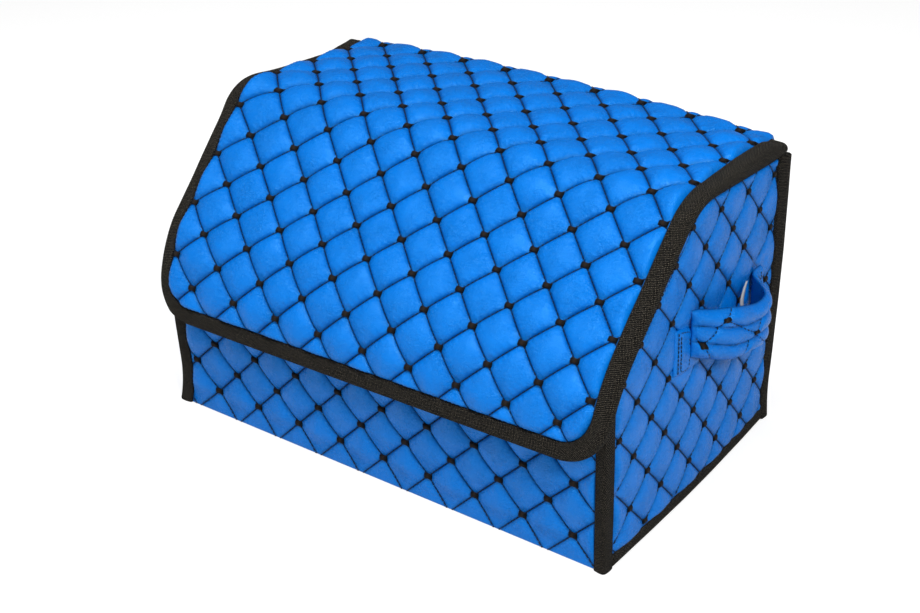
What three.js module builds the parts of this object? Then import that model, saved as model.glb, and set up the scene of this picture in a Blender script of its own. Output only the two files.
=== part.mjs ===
import * as THREE from 'three';

// Quilted trunk organizer. Millimetres, +X to the right, front towards -Y, +Z up.
// First all in a frame centred on the box; moved once at the end to the middle of the bounding box.

// Box, measured on the stitched level of the quilting
const WIDTH = 500;
const DEPTH = 299;
// Lid: a nearly level top, a curved crease, a straight slope and a lip that curves down
const LID_WIDTH = 515;
const LID_REAR_HEIGHT = 293.6;
const FOLD_INSET = 1;
const CREASE_FROM_FRONT = 161;
const TOP_FALL = THREE.MathUtils.degToRad(4.9);
const FLAP_SLOPE = THREE.MathUtils.degToRad(43.7);
const CREASE_RADIUS = 71;
const FLAP_STRAIGHT = 111;
const LIP_RADIUS = 156;
const LIP_LENGTH = 100;
const LID_CORNER_RADIUS = 45;
// Quilting: pitch between knots along both diagonals, and where one knot lies on each wall
const PITCH_ACROSS = 52.5;
const PITCH_DOWN = 54;
const FRONT_KNOT_X = 33;
const FRONT_KNOT_Z = 51.9;
const SIDE_KNOT_Y = -58.5;
const SIDE_KNOT_Z = 94;
const PAD_HEIGHT = 7;
const FRONT_PAD_HEIGHT = 6;
const PAD_TOP_SHARE = 0.52;
// Layers
const COVER = 2.2;
const BOARD = 2.5;
const LINING = 1;
const GAP = 0.3;
const TAPE = 1.3;
const FLOOR_COVER = 3.7;
const SKIRT_LIFT = 0.5;
// Tape
const LID_TAPE_WIDTH = 17;
const CORNER_TAPE_WIDTH = 12;
const RIM_TAPE_WIDTH = 6;
const FRONT_RIM_HEIGHT = 24;
const EDGE_BACK = 1;
const TAPE_ROUNDING = 2;
const SOLE_LIFT = 0.2;
// Fold at the rear
const FOLD_RADIUS = 4.6;
// Handle
const HANDLE_HEIGHT = 50;
const HANDLE_THICKNESS = 6.5;
const HANDLE_Z = 166;
const HANDLE_SAG = 7;
const HANDLE_STAND_OFF = 24;
const HANDLE_FRONT_END = -47;
const HANDLE_REAR_END = 118;
const HANDLE_TAB = 25;
const HANDLE_BELLY_SHIFT = 1.35;
const HANDLE_BELLY_POINTEDNESS = 1.15;
// Closure
const CLOSURE_LENGTH = 300;
const CLOSURE_HEIGHT = 15;
const CLOSURE_THICKNESS = 1.5;
const CLOSURE_MARGIN = 1;

const HALF_W = WIDTH / 2;
const HALF_D = DEPTH / 2;
const LID_HALF = LID_WIDTH / 2;
const BOARD_TOP = -(COVER + GAP);
const BOARD_BACK = BOARD_TOP - BOARD;
const LINING_TOP = BOARD_BACK - GAP;
const LINING_BACK = LINING_TOP - LINING;
const EDGE_UNDER = LINING_BACK - EDGE_BACK;
const FLOOR_BOARD = FLOOR_COVER + GAP;
const FLOOR_LINING = FLOOR_BOARD + BOARD + GAP;
const FLOOR_TOP = FLOOR_LINING + LINING;

const BLUE = 0x0b78e3;
const BLACK = 0x17130f;
const GREY = 0x34373c;
const KRAFT = 0x8c7b62;

const group = new THREE.Group();
group.name = 'trunk_organizer';

const leatherette = new THREE.MeshStandardMaterial({ name: 'leatherette', color: BLUE, roughness: 0.45 });
const tape = new THREE.MeshStandardMaterial({ name: 'woven_tape', color: BLACK, roughness: 0.85 });
const liner = new THREE.MeshStandardMaterial({ name: 'lining_cloth', color: GREY, roughness: 0.9 });
const fibre = new THREE.MeshStandardMaterial({ name: 'fibreboard', color: KRAFT, roughness: 0.8 });

// Lid section seen from the side, along s from the rear fold to the front edge.
// The middle of the crease falls on a row of knots.
const CREASE_TURN = TOP_FALL + FLAP_SLOPE;
const CREASE_LENGTH = CREASE_RADIUS * CREASE_TURN;
const LID_START = FOLD_RADIUS + GAP;
const ROW = PITCH_DOWN / 2;
const TOP_STRAIGHT = (DEPTH - FOLD_INSET - CREASE_FROM_FRONT) / Math.cos(TOP_FALL);
const SPLIT = TOP_STRAIGHT + CREASE_LENGTH / 2;
const FLAP_START = TOP_STRAIGHT + CREASE_LENGTH;
const LIP_START = FLAP_START + FLAP_STRAIGHT;
const LID_END = LIP_START + LIP_LENGTH;
const REAR_Y = HALF_D - FOLD_INSET;

// Angle of travel above the horizontal, going forward
function heading(s) {
  if (s <= TOP_STRAIGHT) return TOP_FALL;
  if (s <= FLAP_START) return TOP_FALL - (s - TOP_STRAIGHT) / CREASE_RADIUS;
  if (s <= LIP_START) return -FLAP_SLOPE;
  return -FLAP_SLOPE - (s - LIP_START) / LIP_RADIUS;
}

function smoothPoint(s, h) {
  let y = REAR_Y;
  let z = LID_REAR_HEIGHT;
  const straight = (length, angle) => {
    y -= length * Math.cos(angle);
    z += length * Math.sin(angle);
  };
  const arc = (radius, from, to) => {
    y += radius * (Math.sin(to) - Math.sin(from));
    z += radius * (Math.cos(to) - Math.cos(from));
  };
  straight(Math.min(s, TOP_STRAIGHT), TOP_FALL);
  if (s > TOP_STRAIGHT) arc(CREASE_RADIUS, TOP_FALL, heading(Math.min(s, FLAP_START)));
  if (s > FLAP_START) straight(Math.min(s, LIP_START) - FLAP_START, -FLAP_SLOPE);
  if (s > LIP_START) arc(LIP_RADIUS, -FLAP_SLOPE, heading(s));
  const a = heading(s);
  return [y + h * Math.sin(a), z + h * Math.cos(a)];
}

// The section bends at the rows of knots only, so that all layers lie flat on each other
const ROWS_BEHIND = Math.ceil(SPLIT / ROW) + 1;
const ROWS_AHEAD = Math.ceil((LID_END - SPLIT) / ROW) + 1;
const BENDS = range(SPLIT - ROWS_BEHIND * ROW, SPLIT + ROWS_AHEAD * ROW, ROWS_BEHIND + ROWS_AHEAD);

function lidPoint(s, h) {
  const k = BENDS.findIndex((bend) => bend > s);
  const from = BENDS[k - 1];
  const to = BENDS[k];
  const t = (s - from) / (to - from);
  const a = smoothPoint(from, h);
  const b = smoothPoint(to, h);
  return [a[0] + t * (b[0] - a[0]), a[1] + t * (b[1] - a[1])];
}

function sAtY(y, h) {
  let low = BENDS[0];
  let high = BENDS[BENDS.length - 2];
  for (let i = 0; i < 60; i += 1) {
    const mid = (low + high) / 2;
    if (lidPoint(mid, h)[0] > y) low = mid;
    else high = mid;
  }
  return (low + high) / 2;
}

function range(from, to, parts) {
  return Array.from({ length: parts + 1 }, (_, i) => from + ((to - from) * i) / parts);
}

// Stations from one place to another: the ends and the real bends between them
function stations(from, to) {
  const bends = (s) => Math.abs(heading(s - ROW) - heading(s + ROW)) > 1e-6;
  return [from, ...BENDS.filter((s) => s > from + 0.01 && s < to - 0.01 && bends(s)), to];
}

function clip(poly, a, b, c) {
  const out = [];
  poly.forEach((p, i) => {
    const q = poly[(i + 1) % poly.length];
    const dp = a * p[0] + b * p[1] - c;
    const dq = a * q[0] + b * q[1] - c;
    if (dp <= 1e-7) out.push(p);
    if ((dp < -1e-7 && dq > 1e-7) || (dp > 1e-7 && dq < -1e-7)) {
      const t = dp / (dp - dq);
      out.push([p[0] + t * (q[0] - p[0]), p[1] + t * (q[1] - p[1])]);
    }
  });
  return out;
}

function clipTo(poly, outline) {
  let out = poly;
  outline.forEach((p, i) => {
    const q = outline[(i + 1) % outline.length];
    const nx = q[1] - p[1];
    const ny = p[0] - q[0];
    const len = Math.hypot(nx, ny);
    if (out.length) out = clip(out, nx / len, ny / len, (nx * p[0] + ny * p[1]) / len);
  });
  return out;
}

function area(poly) {
  return poly.reduce((sum, p, i) => {
    const q = poly[(i + 1) % poly.length];
    return sum + (p[0] * q[1] - q[0] * p[1]) / 2;
  }, 0);
}

function tidy(poly) {
  return poly.filter((p, i) => {
    const q = poly[(i + 1) % poly.length];
    return Math.hypot(p[0] - q[0], p[1] - q[1]) > 0.02;
  });
}

function cells(polys) {
  return polys.map(tidy).filter((p) => p.length > 2 && area(p) > 0.5).map((poly) => ({ poly, pad: 0 }));
}

// Diamonds of the quilting, cut off at the outline. With fold, each gets corners on its middle row.
function diamonds(outline, { u0, v0, turn = 0, pad = PAD_HEIGHT, fold = false }) {
  const full = (PITCH_ACROSS * PITCH_DOWN) / 2;
  const spot = (m, n) => {
    const a = (m * PITCH_ACROSS) / 2;
    const b = (n * PITCH_DOWN) / 2;
    return [u0 + a * Math.cos(turn) - b * Math.sin(turn), v0 + a * Math.sin(turn) + b * Math.cos(turn)];
  };
  const out = [];
  for (let m = -24; m <= 24; m += 1) {
    for (let n = -24; n <= 24; n += 1) {
      if ((m + n) % 2 === 0) continue;
      let poly = clipTo([spot(m - 1, n), spot(m, n - 1), spot(m + 1, n), spot(m, n + 1)], outline);
      poly = tidy(poly);
      if (poly.length < 3 || area(poly) < 4) continue;
      const row = spot(m, n)[1];
      if (fold) poly = withRow(poly, row);
      const share = area(poly) / full;
      out.push({ poly, row: fold ? row : null, pad: share < 0.08 ? 0 : pad * Math.min(1, 0.35 + share) });
    }
  }
  return out;
}

function withRow(poly, row) {
  const out = [];
  poly.forEach((p, i) => {
    const q = poly[(i + 1) % poly.length];
    out.push(p);
    const dp = p[1] - row;
    const dq = q[1] - row;
    if (Math.abs(dp) > 0.6 && Math.abs(dq) > 0.6 && dp * dq < 0) {
      const t = dp / (dp - dq);
      out.push([p[0] + t * (q[0] - p[0]), row]);
    }
  });
  return out;
}

function meshFrom(name, positions, faces, material) {
  let volume = 0;
  const a = new THREE.Vector3();
  const b = new THREE.Vector3();
  const c = new THREE.Vector3();
  faces.forEach(([i, j, k]) => {
    a.fromArray(positions[i]);
    b.fromArray(positions[j]);
    c.fromArray(positions[k]);
    volume += a.dot(b.cross(c)) / 6;
  });
  const index = faces.flatMap(([i, j, k]) => (volume > 0 ? [i, j, k] : [i, k, j]));
  const geometry = new THREE.BufferGeometry();
  geometry.setAttribute('position', new THREE.Float32BufferAttribute(positions.flat(), 3));
  geometry.setIndex(index);
  geometry.computeVertexNormals();
  const mesh = new THREE.Mesh(geometry, material);
  mesh.name = name;
  group.add(mesh);
  return mesh;
}

// Closed body over a set of cells: outer face with pads, plain inner face, walls along the free edges.
// openRows are cuts across the pads, where they keep their full height.
function panel(name, material, list, place, hTop, hBack, openRows = []) {
  const spots = [];
  const grid = new Map();
  const positions = [];
  const faces = [];
  const find = (u, v) => {
    const cu = Math.round(u * 20);
    const cv = Math.round(v * 20);
    for (let i = -1; i <= 1; i += 1) {
      for (let j = -1; j <= 1; j += 1) {
        const near = grid.get(`${cu + i},${cv + j}`) || [];
        const hit = near.find((k) => Math.hypot(spots[k][0] - u, spots[k][1] - v) < 0.02);
        if (hit !== undefined) return hit;
      }
    }
    const key = `${cu},${cv}`;
    spots.push([u, v]);
    grid.set(key, [...(grid.get(key) || []), spots.length - 1]);
    return spots.length - 1;
  };
  const rings = list.map((cell) => cell.poly.map(([u, v]) => find(u, v)));
  spots.forEach(([u, v]) => positions.push(place(u, v, hTop)));
  spots.forEach(([u, v]) => positions.push(place(u, v, hBack)));
  const back = spots.length;
  const fan = (ids, flip) => {
    for (let i = 1; i + 1 < ids.length; i += 1) {
      faces.push(flip ? [ids[0], ids[i + 1], ids[i]] : [ids[0], ids[i], ids[i + 1]]);
    }
  };
  const halves = (ring, cell) => {
    if (cell.row === null || cell.row === undefined) return [ring.map((_, i) => i)];
    const on = ring.map((k, i) => (Math.abs(spots[k][1] - cell.row) < 0.7 ? i : -1)).filter((i) => i >= 0);
    if (on.length !== 2) return [ring.map((_, i) => i)];
    const [i, j] = on;
    const order = ring.map((_, k) => k);
    return [order.slice(i, j + 1), [...order.slice(j), ...order.slice(0, i + 1)]].filter((part) => part.length > 2);
  };
  const edges = new Set();
  rings.forEach((ring) => ring.forEach((k, i) => edges.add(`${k},${ring[(i + 1) % ring.length]}`)));
  rings.forEach((ring, r) => {
    const cell = list[r];
    const parts = halves(ring, cell);
    parts.forEach((part) => fan(part.map((i) => ring[i] + back), true));
    if (cell.pad > 0) {
      const mid = [0, 1].map((axis) => ring.reduce((sum, k) => sum + spots[k][axis], 0) / ring.length);
      const first = positions.length;
      ring.forEach((k) => {
        const [u, v] = spots[k];
        const open = openRows.some((row) => Math.abs(v - row) < 0.05);
        const cu = mid[0] + PAD_TOP_SHARE * (u - mid[0]);
        const cv = open ? v : mid[1] + PAD_TOP_SHARE * (v - mid[1]);
        positions.push(place(cu, cv, hTop + cell.pad));
      });
      ring.forEach((k, i) => {
        const n = (i + 1) % ring.length;
        faces.push([k, ring[n], first + n], [k, first + n, first + i]);
      });
      parts.forEach((part) => fan(part.map((i) => first + i), false));
    } else {
      parts.forEach((part) => fan(part.map((i) => ring[i]), false));
    }
    ring.forEach((k, i) => {
      const n = ring[(i + 1) % ring.length];
      if (edges.has(`${n},${k}`)) return;
      faces.push([k + back, n + back, n], [k + back, n, k]);
    });
  });
  return meshFrom(name, positions, faces, material);
}

// Body through a row of equal closed sections
function loft(name, material, sections, flat) {
  const count = sections[0].length;
  const positions = sections.flat();
  const faces = [];
  for (let r = 0; r + 1 < sections.length; r += 1) {
    for (let i = 0; i < count; i += 1) {
      const n = (i + 1) % count;
      const a = r * count;
      const b = a + count;
      faces.push([a + i, a + n, b + n], [a + i, b + n, b + i]);
    }
  }
  const caps = THREE.ShapeUtils.triangulateShape(flat.map(([x, y]) => new THREE.Vector2(x, y)), []);
  const ccw = THREE.ShapeUtils.area(flat.map(([x, y]) => new THREE.Vector2(x, y))) > 0;
  const end = positions.length - count;
  const [t0] = caps;
  const sign = area(t0.map((i) => flat[i])) > 0 === ccw;
  caps.forEach(([i, j, k]) => {
    const [p, q] = sign ? [j, k] : [k, j];
    faces.push([i, q, p], [end + i, end + p, end + q]);
  });
  return meshFrom(name, positions, faces, material);
}

const rect = (u0, v0, u1, v1) => [[u0, v0], [u1, v0], [u1, v1], [u0, v1]];

// Ways to lay a flat drawing on each face; h counts outwards from the stitched level
const onFront = (u, v, h) => [u, -HALF_D - h, v];
const onBack = (u, v, h) => [-u, HALF_D + h, v];
const onSide = (side) => (u, v, h) => [side * (HALF_W + h), u, v];
const onLid = (u, s, h) => {
  const [y, z] = lidPoint(s, h);
  return [u, y, z];
};

// Lid outline in (across, along) with the rounded front corners
function lidOutline(inset, from, to) {
  const half = LID_HALF - inset;
  const end = LID_END - inset;
  if (to < LID_END - LID_CORNER_RADIUS) return rect(-half, from, half, to);
  const r = LID_CORNER_RADIUS - inset;
  const arc = (side) => range(0, Math.PI / 2, 5).map((a) => [
    side * (half - r + r * Math.cos(a)), end - r + r * Math.sin(a)]);
  return [[-half, from], [half, from], ...arc(1), ...arc(-1).reverse()];
}

function bands(outline, cuts) {
  return cells(cuts.slice(1).map((to, i) => clip(clip(outline, 0, 1, to), 0, -1, -cuts[i])));
}

const inner = LID_TAPE_WIDTH + GAP;
const topEnd = SPLIT - GAP / 2;
const flapFrom = SPLIT + GAP / 2;
const lidParts = [['lid_top', LID_START, topEnd], ['lid_flap', flapFrom, LID_END]];
lidParts.forEach(([name, from, to]) => {
  const isTop = name === 'lid_top';
  const outline = lidOutline(inner, from, to);
  const lattice = { u0: 0, v0: SPLIT, fold: true };
  panel(`cover_${name}`, leatherette, diamonds(outline, lattice), onLid, 0, -COVER, isTop ? [from, to] : [from]);
  const cuts = stations(from, to);
  panel(`board_${name}`, fibre, bands(outline, cuts), onLid, BOARD_TOP, BOARD_BACK);
  panel(`lining_${name}`, liner, bands(outline, cuts), onLid, LINING_TOP, LINING_BACK);
});

// Edge tape of the lid, wrapped round the layered edge
[-1, 1].forEach((side) => {
  const a = side * LID_HALF;
  const b = side * (LID_HALF - LID_TAPE_WIDTH);
  const strip = bands(rect(Math.min(a, b), LID_START, Math.max(a, b), topEnd), stations(LID_START, topEnd));
  panel(`binding_lid_top_${side < 0 ? 'left' : 'right'}`, tape, strip, onLid, TAPE, EDGE_UNDER);
});
{
  const outer = [];
  const inside = [];
  const r = LID_CORNER_RADIUS;
  const straight = stations(flapFrom, LID_END - r);
  const add = (side, s) => {
    outer.push([side * LID_HALF, s]);
    inside.push([side * (LID_HALF - LID_TAPE_WIDTH), s]);
  };
  const corner = (side, a) => {
    const c = [side * (LID_HALF - r), LID_END - r];
    const q = r - LID_TAPE_WIDTH;
    outer.push([c[0] + side * r * Math.cos(a), c[1] + r * Math.sin(a)]);
    inside.push([c[0] + side * q * Math.cos(a), c[1] + q * Math.sin(a)]);
  };
  straight.forEach((s) => add(1, s));
  range(0, Math.PI / 2, 6).slice(1).forEach((a) => corner(1, a));
  range(0, Math.PI / 2, 6).reverse().forEach((a) => corner(-1, a));
  [...straight].reverse().slice(1).forEach((s) => add(-1, s));
  const quads = outer.slice(1).map((p, i) => [outer[i], p, inside[i + 1], inside[i]]);
  panel('binding_lid_flap', tape, cells(quads), onLid, TAPE, EDGE_UNDER);
}

// Rim of the side walls: the lid rests on it
const rimTop = EDGE_UNDER - GAP;
const rimBack = rimTop - RIM_TAPE_WIDTH;
const wallTop = rimBack - GAP;
const frontFace = -HALF_D - TAPE;
const sideInset = CORNER_TAPE_WIDTH + GAP;
const floorEdge = TAPE + SOLE_LIFT;
const wallFoot = floorEdge + sideInset;
const rimRear = HALF_D - sideInset;
function belowLid(h, yFrom, yTo) {
  return stations(sAtY(yTo, h), sAtY(yFrom, h)).map((s) => lidPoint(s, h));
}
{
  const cuts = stations(sAtY(rimRear, rimTop), sAtY(-rimRear, rimBack) + RIM_TAPE_WIDTH);
  const quads = cuts.slice(1).map((s, i) => [
    lidPoint(cuts[i], rimBack), lidPoint(cuts[i], rimTop), lidPoint(s, rimTop), lidPoint(s, rimBack)]);
  const cut = quads.map((q) => clip(clip(q, -1, 0, rimRear), 1, 0, rimRear));
  [-1, 1].forEach((side) => {
    panel(`binding_rim_${side < 0 ? 'left' : 'right'}`, tape, cells(cut), onSide(side), TAPE, EDGE_UNDER);
  });
}
const frontTop = lidPoint(sAtY(frontFace, rimTop), rimTop)[1] - GAP;
const frontWallTop = frontTop - FRONT_RIM_HEIGHT - GAP;
const rimInner = HALF_W + EDGE_UNDER - GAP;
const faceHalf = HALF_W - sideInset;
panel('binding_rim_front', tape, cells([rect(-faceHalf, frontTop - FRONT_RIM_HEIGHT, faceHalf, frontTop)]),
  onFront, TAPE, EDGE_UNDER);

// Side walls
function sideOutline(yFrom, yTo, zFrom) {
  return [[yFrom, zFrom], [yTo, zFrom], ...belowLid(wallTop, yFrom, yTo)];
}
const linedFront = -(HALF_D + LINING_BACK) + GAP;
const linedRear = HALF_D + LINING_BACK - GAP;
[['left', -1], ['right', 1]].forEach(([name, side]) => {
  const place = onSide(side);
  const outline = sideOutline(-HALF_D + sideInset, rimRear, wallFoot);
  const lattice = { u0: SIDE_KNOT_Y, v0: SIDE_KNOT_Z, turn: -TOP_FALL };
  panel(`cover_${name}`, leatherette, diamonds(outline, lattice), place, 0, -COVER);
  const boardOutline = sideOutline(-HALF_D + COVER + GAP, HALF_D + BOARD_BACK - GAP, FLOOR_LINING);
  panel(`board_${name}`, fibre, cells([boardOutline]), place, BOARD_TOP, BOARD_BACK);
  const liningOutline = sideOutline(linedFront, linedRear, FLOOR_TOP + GAP);
  panel(`lining_${name}`, liner, cells([liningOutline]), place, LINING_TOP, LINING_BACK);
});

// Front wall: the cover turns under at the bottom edge
const foldZ = LID_REAR_HEIGHT + EDGE_UNDER / 2;
const rearTop = foldZ - FOLD_RADIUS - GAP;
const frontLattice = { u0: FRONT_KNOT_X, v0: FRONT_KNOT_Z, pad: FRONT_PAD_HEIGHT };
panel('cover_front', leatherette, diamonds(rect(-faceHalf, SKIRT_LIFT, faceHalf, frontWallTop), frontLattice),
  onFront, 0, -COVER);
panel('board_front', fibre, cells([rect(-rimInner, FLOOR_LINING, rimInner, frontWallTop)]),
  onFront, BOARD_TOP, BOARD_BACK);
panel('lining_front', liner, cells([rect(-rimInner, FLOOR_TOP + GAP, rimInner, frontWallTop)]),
  onFront, LINING_TOP, LINING_BACK);

// Rear wall
const boardHalf = HALF_W + BOARD_TOP;
const liningHalf = HALF_W + LINING_TOP;
panel('cover_back', leatherette,
  diamonds(rect(-faceHalf, wallFoot, faceHalf, rearTop), { u0: 0, v0: rearTop }),
  onBack, 0, -COVER, [rearTop]);
panel('board_back', fibre, cells([rect(-boardHalf, FLOOR_LINING, boardHalf, rearTop)]),
  onBack, BOARD_TOP, BOARD_BACK);
panel('lining_back', liner, cells([rect(-liningHalf, FLOOR_TOP + GAP, liningHalf, rearTop)]),
  onBack, LINING_TOP, LINING_BACK);

// Bottom
const onFloor = (u, v, h) => [u, v, h];
panel('cover_bottom', leatherette, cells([rect(-faceHalf, -HALF_D + COVER + GAP, faceHalf, rimRear)]),
  onFloor, FLOOR_COVER, 0);
panel('board_bottom', fibre, cells([rect(-boardHalf, -HALF_D - BOARD_TOP, boardHalf, HALF_D + BOARD_TOP)]),
  onFloor, FLOOR_LINING - GAP, FLOOR_BOARD);
panel('lining_bottom', liner, cells([rect(-liningHalf, -HALF_D - LINING_TOP, liningHalf, HALF_D + LINING_TOP)]),
  onFloor, FLOOR_TOP, FLOOR_LINING);

// Tape over the corner edges, L-shaped in section, soft outer edge. An end may be a function of place.
function cornerTape(name, low, high, place) {
  const out = TAPE;
  const leg = CORNER_TAPE_WIDTH;
  const soft = TAPE_ROUNDING;
  const section = [
    [out, out - soft], [out, -leg], [-COVER, -leg], [-COVER, -COVER],
    [-leg, -COVER], [-leg, out], [out - soft, out]];
  const end = (w, b) => (typeof w === 'function' ? w(b) : w);
  const sections = [low, high].map((w) => section.map(([a, b]) => place(a, b, end(w, b))));
  loft(name, tape, sections, section);
}
[['left', -1], ['right', 1]].forEach(([name, side]) => {
  const underLid = (b) => lidPoint(sAtY(-HALF_D - b, rimTop), rimTop)[1];
  cornerTape(`binding_corner_front_${name}`, SKIRT_LIFT, underLid,
    (a, b, w) => [side * (HALF_W + a), -HALF_D - b, w]);
  cornerTape(`binding_corner_rear_${name}`, SKIRT_LIFT, rearTop,
    (a, b, w) => [side * (HALF_W + a), HALF_D + b, w]);
  cornerTape(`binding_bottom_${name}`, -HALF_D + sideInset, rimRear,
    (a, b, w) => [side * (HALF_W + a), w, floorEdge - b]);
});
cornerTape('binding_bottom_rear', -faceHalf, faceHalf, (a, b, w) => [w, HALF_D + a, floorEdge - b]);

// Fold of the cover at the rear top edge, the lid turns about its middle
{
  const round = range(0, 2 * Math.PI, 12).slice(0, -1)
    .map((a) => [FOLD_RADIUS * Math.cos(a), FOLD_RADIUS * Math.sin(a)]);
  const ends = [-HALF_W, HALF_W].map((x) => round.map(([a, b]) => [x, REAR_Y + a, foldZ + b]));
  loft('fold_rear', leatherette, ends, round);
}

// Handles: quilted strap, lying flat at both ends and standing off the wall between
const handleFlat = [
  [-0.5, 0.05], [-0.42, 1], [-0.25, 1], [-0.17, 0.7], [-0.08, 1], [0.08, 1],
  [0.17, 0.7], [0.25, 1], [0.42, 1], [0.5, 0.05], [0.5, 0], [-0.5, 0],
].map(([z, t]) => [z * HANDLE_HEIGHT, t * HANDLE_THICKNESS]);
function handle(name, side) {
  const base = HALF_W + PAD_HEIGHT + GAP;
  const front = HANDLE_FRONT_END + HANDLE_TAB;
  const rear = HANDLE_REAR_END - HANDLE_TAB;
  const standOff = (y) => {
    if (y <= front || y >= rear) return 0;
    const t = (y - front) / (rear - front);
    return HANDLE_STAND_OFF * Math.sin(Math.PI * t ** HANDLE_BELLY_SHIFT) ** HANDLE_BELLY_POINTEDNESS;
  };
  const between = (y) => THREE.MathUtils.clamp((y - front) / (rear - front), 0, 1);
  const sag = (y) => HANDLE_SAG * Math.sin(Math.PI * between(y));
  const ys = [HANDLE_FRONT_END, ...range(front, rear, 14), HANDLE_REAR_END];
  const sections = ys.map((y) => {
    const slope = (standOff(y + 0.5) - standOff(y - 0.5));
    const len = Math.hypot(1, slope);
    return handleFlat.map(([z, t]) => [
      side * (base + standOff(y) + t / len), y - (slope * t) / len, HANDLE_Z - sag(y) + z]);
  });
  loft(name, leatherette, sections, handleFlat);
}
handle('handle_left', -1);
handle('handle_right', 1);

// Hook-and-loop closure between the front rim and the inside of the flap
const closureHalf = CLOSURE_LENGTH / 2;
const closureFoot = frontTop - FRONT_RIM_HEIGHT + CLOSURE_MARGIN;
panel('closure_wall', tape,
  cells([rect(-closureHalf, closureFoot, closureHalf, closureFoot + CLOSURE_HEIGHT)]),
  onFront, TAPE + GAP + CLOSURE_THICKNESS, TAPE + GAP);
{
  const to = LID_END - LID_TAPE_WIDTH - CLOSURE_MARGIN;
  const outline = rect(-closureHalf, to - CLOSURE_HEIGHT, closureHalf, to);
  panel('closure_flap', tape, bands(outline, stations(to - CLOSURE_HEIGHT, to)), onLid,
    LINING_BACK - GAP, LINING_BACK - GAP - CLOSURE_THICKNESS);
}

// Move everything so that the middle of the bounding box stands on the origin
const bounds = new THREE.Box3().setFromObject(group);
const shift = [-(bounds.min.x + bounds.max.x) / 2, -(bounds.min.y + bounds.max.y) / 2, -bounds.min.z];
group.children.forEach((mesh) => mesh.geometry.translate(...shift));

export default group;
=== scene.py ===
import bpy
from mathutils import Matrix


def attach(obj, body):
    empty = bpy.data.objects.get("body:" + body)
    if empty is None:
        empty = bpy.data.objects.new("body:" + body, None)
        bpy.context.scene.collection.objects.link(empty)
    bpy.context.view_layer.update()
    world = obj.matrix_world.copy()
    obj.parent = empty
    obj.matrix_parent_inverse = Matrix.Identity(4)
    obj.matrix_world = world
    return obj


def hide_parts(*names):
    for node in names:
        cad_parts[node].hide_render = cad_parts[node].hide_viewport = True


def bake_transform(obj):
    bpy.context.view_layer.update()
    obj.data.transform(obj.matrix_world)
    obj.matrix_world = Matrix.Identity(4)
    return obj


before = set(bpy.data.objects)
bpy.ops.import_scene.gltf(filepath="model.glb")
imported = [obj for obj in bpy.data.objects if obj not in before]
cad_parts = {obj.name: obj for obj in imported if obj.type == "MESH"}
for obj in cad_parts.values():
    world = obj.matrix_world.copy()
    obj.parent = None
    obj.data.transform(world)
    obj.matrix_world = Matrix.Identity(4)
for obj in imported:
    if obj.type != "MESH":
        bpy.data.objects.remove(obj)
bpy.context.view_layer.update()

import math

import bpy
import numpy as np
from mathutils import Matrix, Vector
from mathutils.geometry import delaunay_2d_cdt

# Quilted trunk organizer: covers, tapes, handles and linings around the CAD frame.
# Sizes in millimetres as in the CAD source, first centred on the box, +Y to the rear.
SHIFT_Y = 7.3193
WIDTH, DEPTH = 500.0, 299.0
LID_WIDTH, LID_REAR_HEIGHT, FOLD_INSET, CREASE_FROM_FRONT = 515.0, 293.6, 1.0, 161.0
TOP_FALL, FLAP_SLOPE = math.radians(4.9), math.radians(43.7)
CREASE_RADIUS, FLAP_STRAIGHT, LIP_RADIUS, LIP_LENGTH = 71.0, 111.0, 156.0, 100.0
LID_CORNER_RADIUS = 45.0
PITCH_ACROSS, PITCH_DOWN = 52.5, 54.0
COVER, BOARD, LINING, GAP, TAPE = 2.2, 2.5, 1.0, 0.3, 1.3
# Corner and rim tapes are drawn a little narrower than in the CAD, as in the photo
LID_TAPE_WIDTH, CORNER_TAPE_WIDTH, RIM_TAPE_WIDTH, FRONT_RIM_HEIGHT = 17.0, 10.5, 4.0, 24.0
FRONT_RIM_TOP = 157.101
FLOOR_COVER, SKIRT_LIFT, SOLE_LIFT, FOLD_RADIUS = 3.7, 0.5, 0.2, 4.6
HANDLE_Z = 166.0
HANDLE_FRONT_END, HANDLE_REAR_END, HANDLE_TAB = -47.0, 118.0, 25.0

HALF_W, HALF_D, LID_HALF = WIDTH / 2, DEPTH / 2, LID_WIDTH / 2
LINING_TOP = -(COVER + GAP + BOARD + GAP)
LINING_BACK = LINING_TOP - LINING
EDGE_UNDER = LINING_BACK - 1.0
FOLD_Z = LID_REAR_HEIGHT + EDGE_UNDER / 2
REAR_Y = HALF_D - FOLD_INSET
CREASE_LENGTH = CREASE_RADIUS * (TOP_FALL + FLAP_SLOPE)
TOP_STRAIGHT = (DEPTH - FOLD_INSET - CREASE_FROM_FRONT) / math.cos(TOP_FALL)
SPLIT = TOP_STRAIGHT + CREASE_LENGTH / 2
FLAP_START = TOP_STRAIGHT + CREASE_LENGTH
LIP_START = FLAP_START + FLAP_STRAIGHT
LID_END = LIP_START + LIP_LENGTH
FACE_HALF = HALF_W - CORNER_TAPE_WIDTH - GAP
LID_START = FOLD_RADIUS + GAP

rng = np.random.default_rng(11)
TABLE = rng.random((4, 64, 64))


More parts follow.
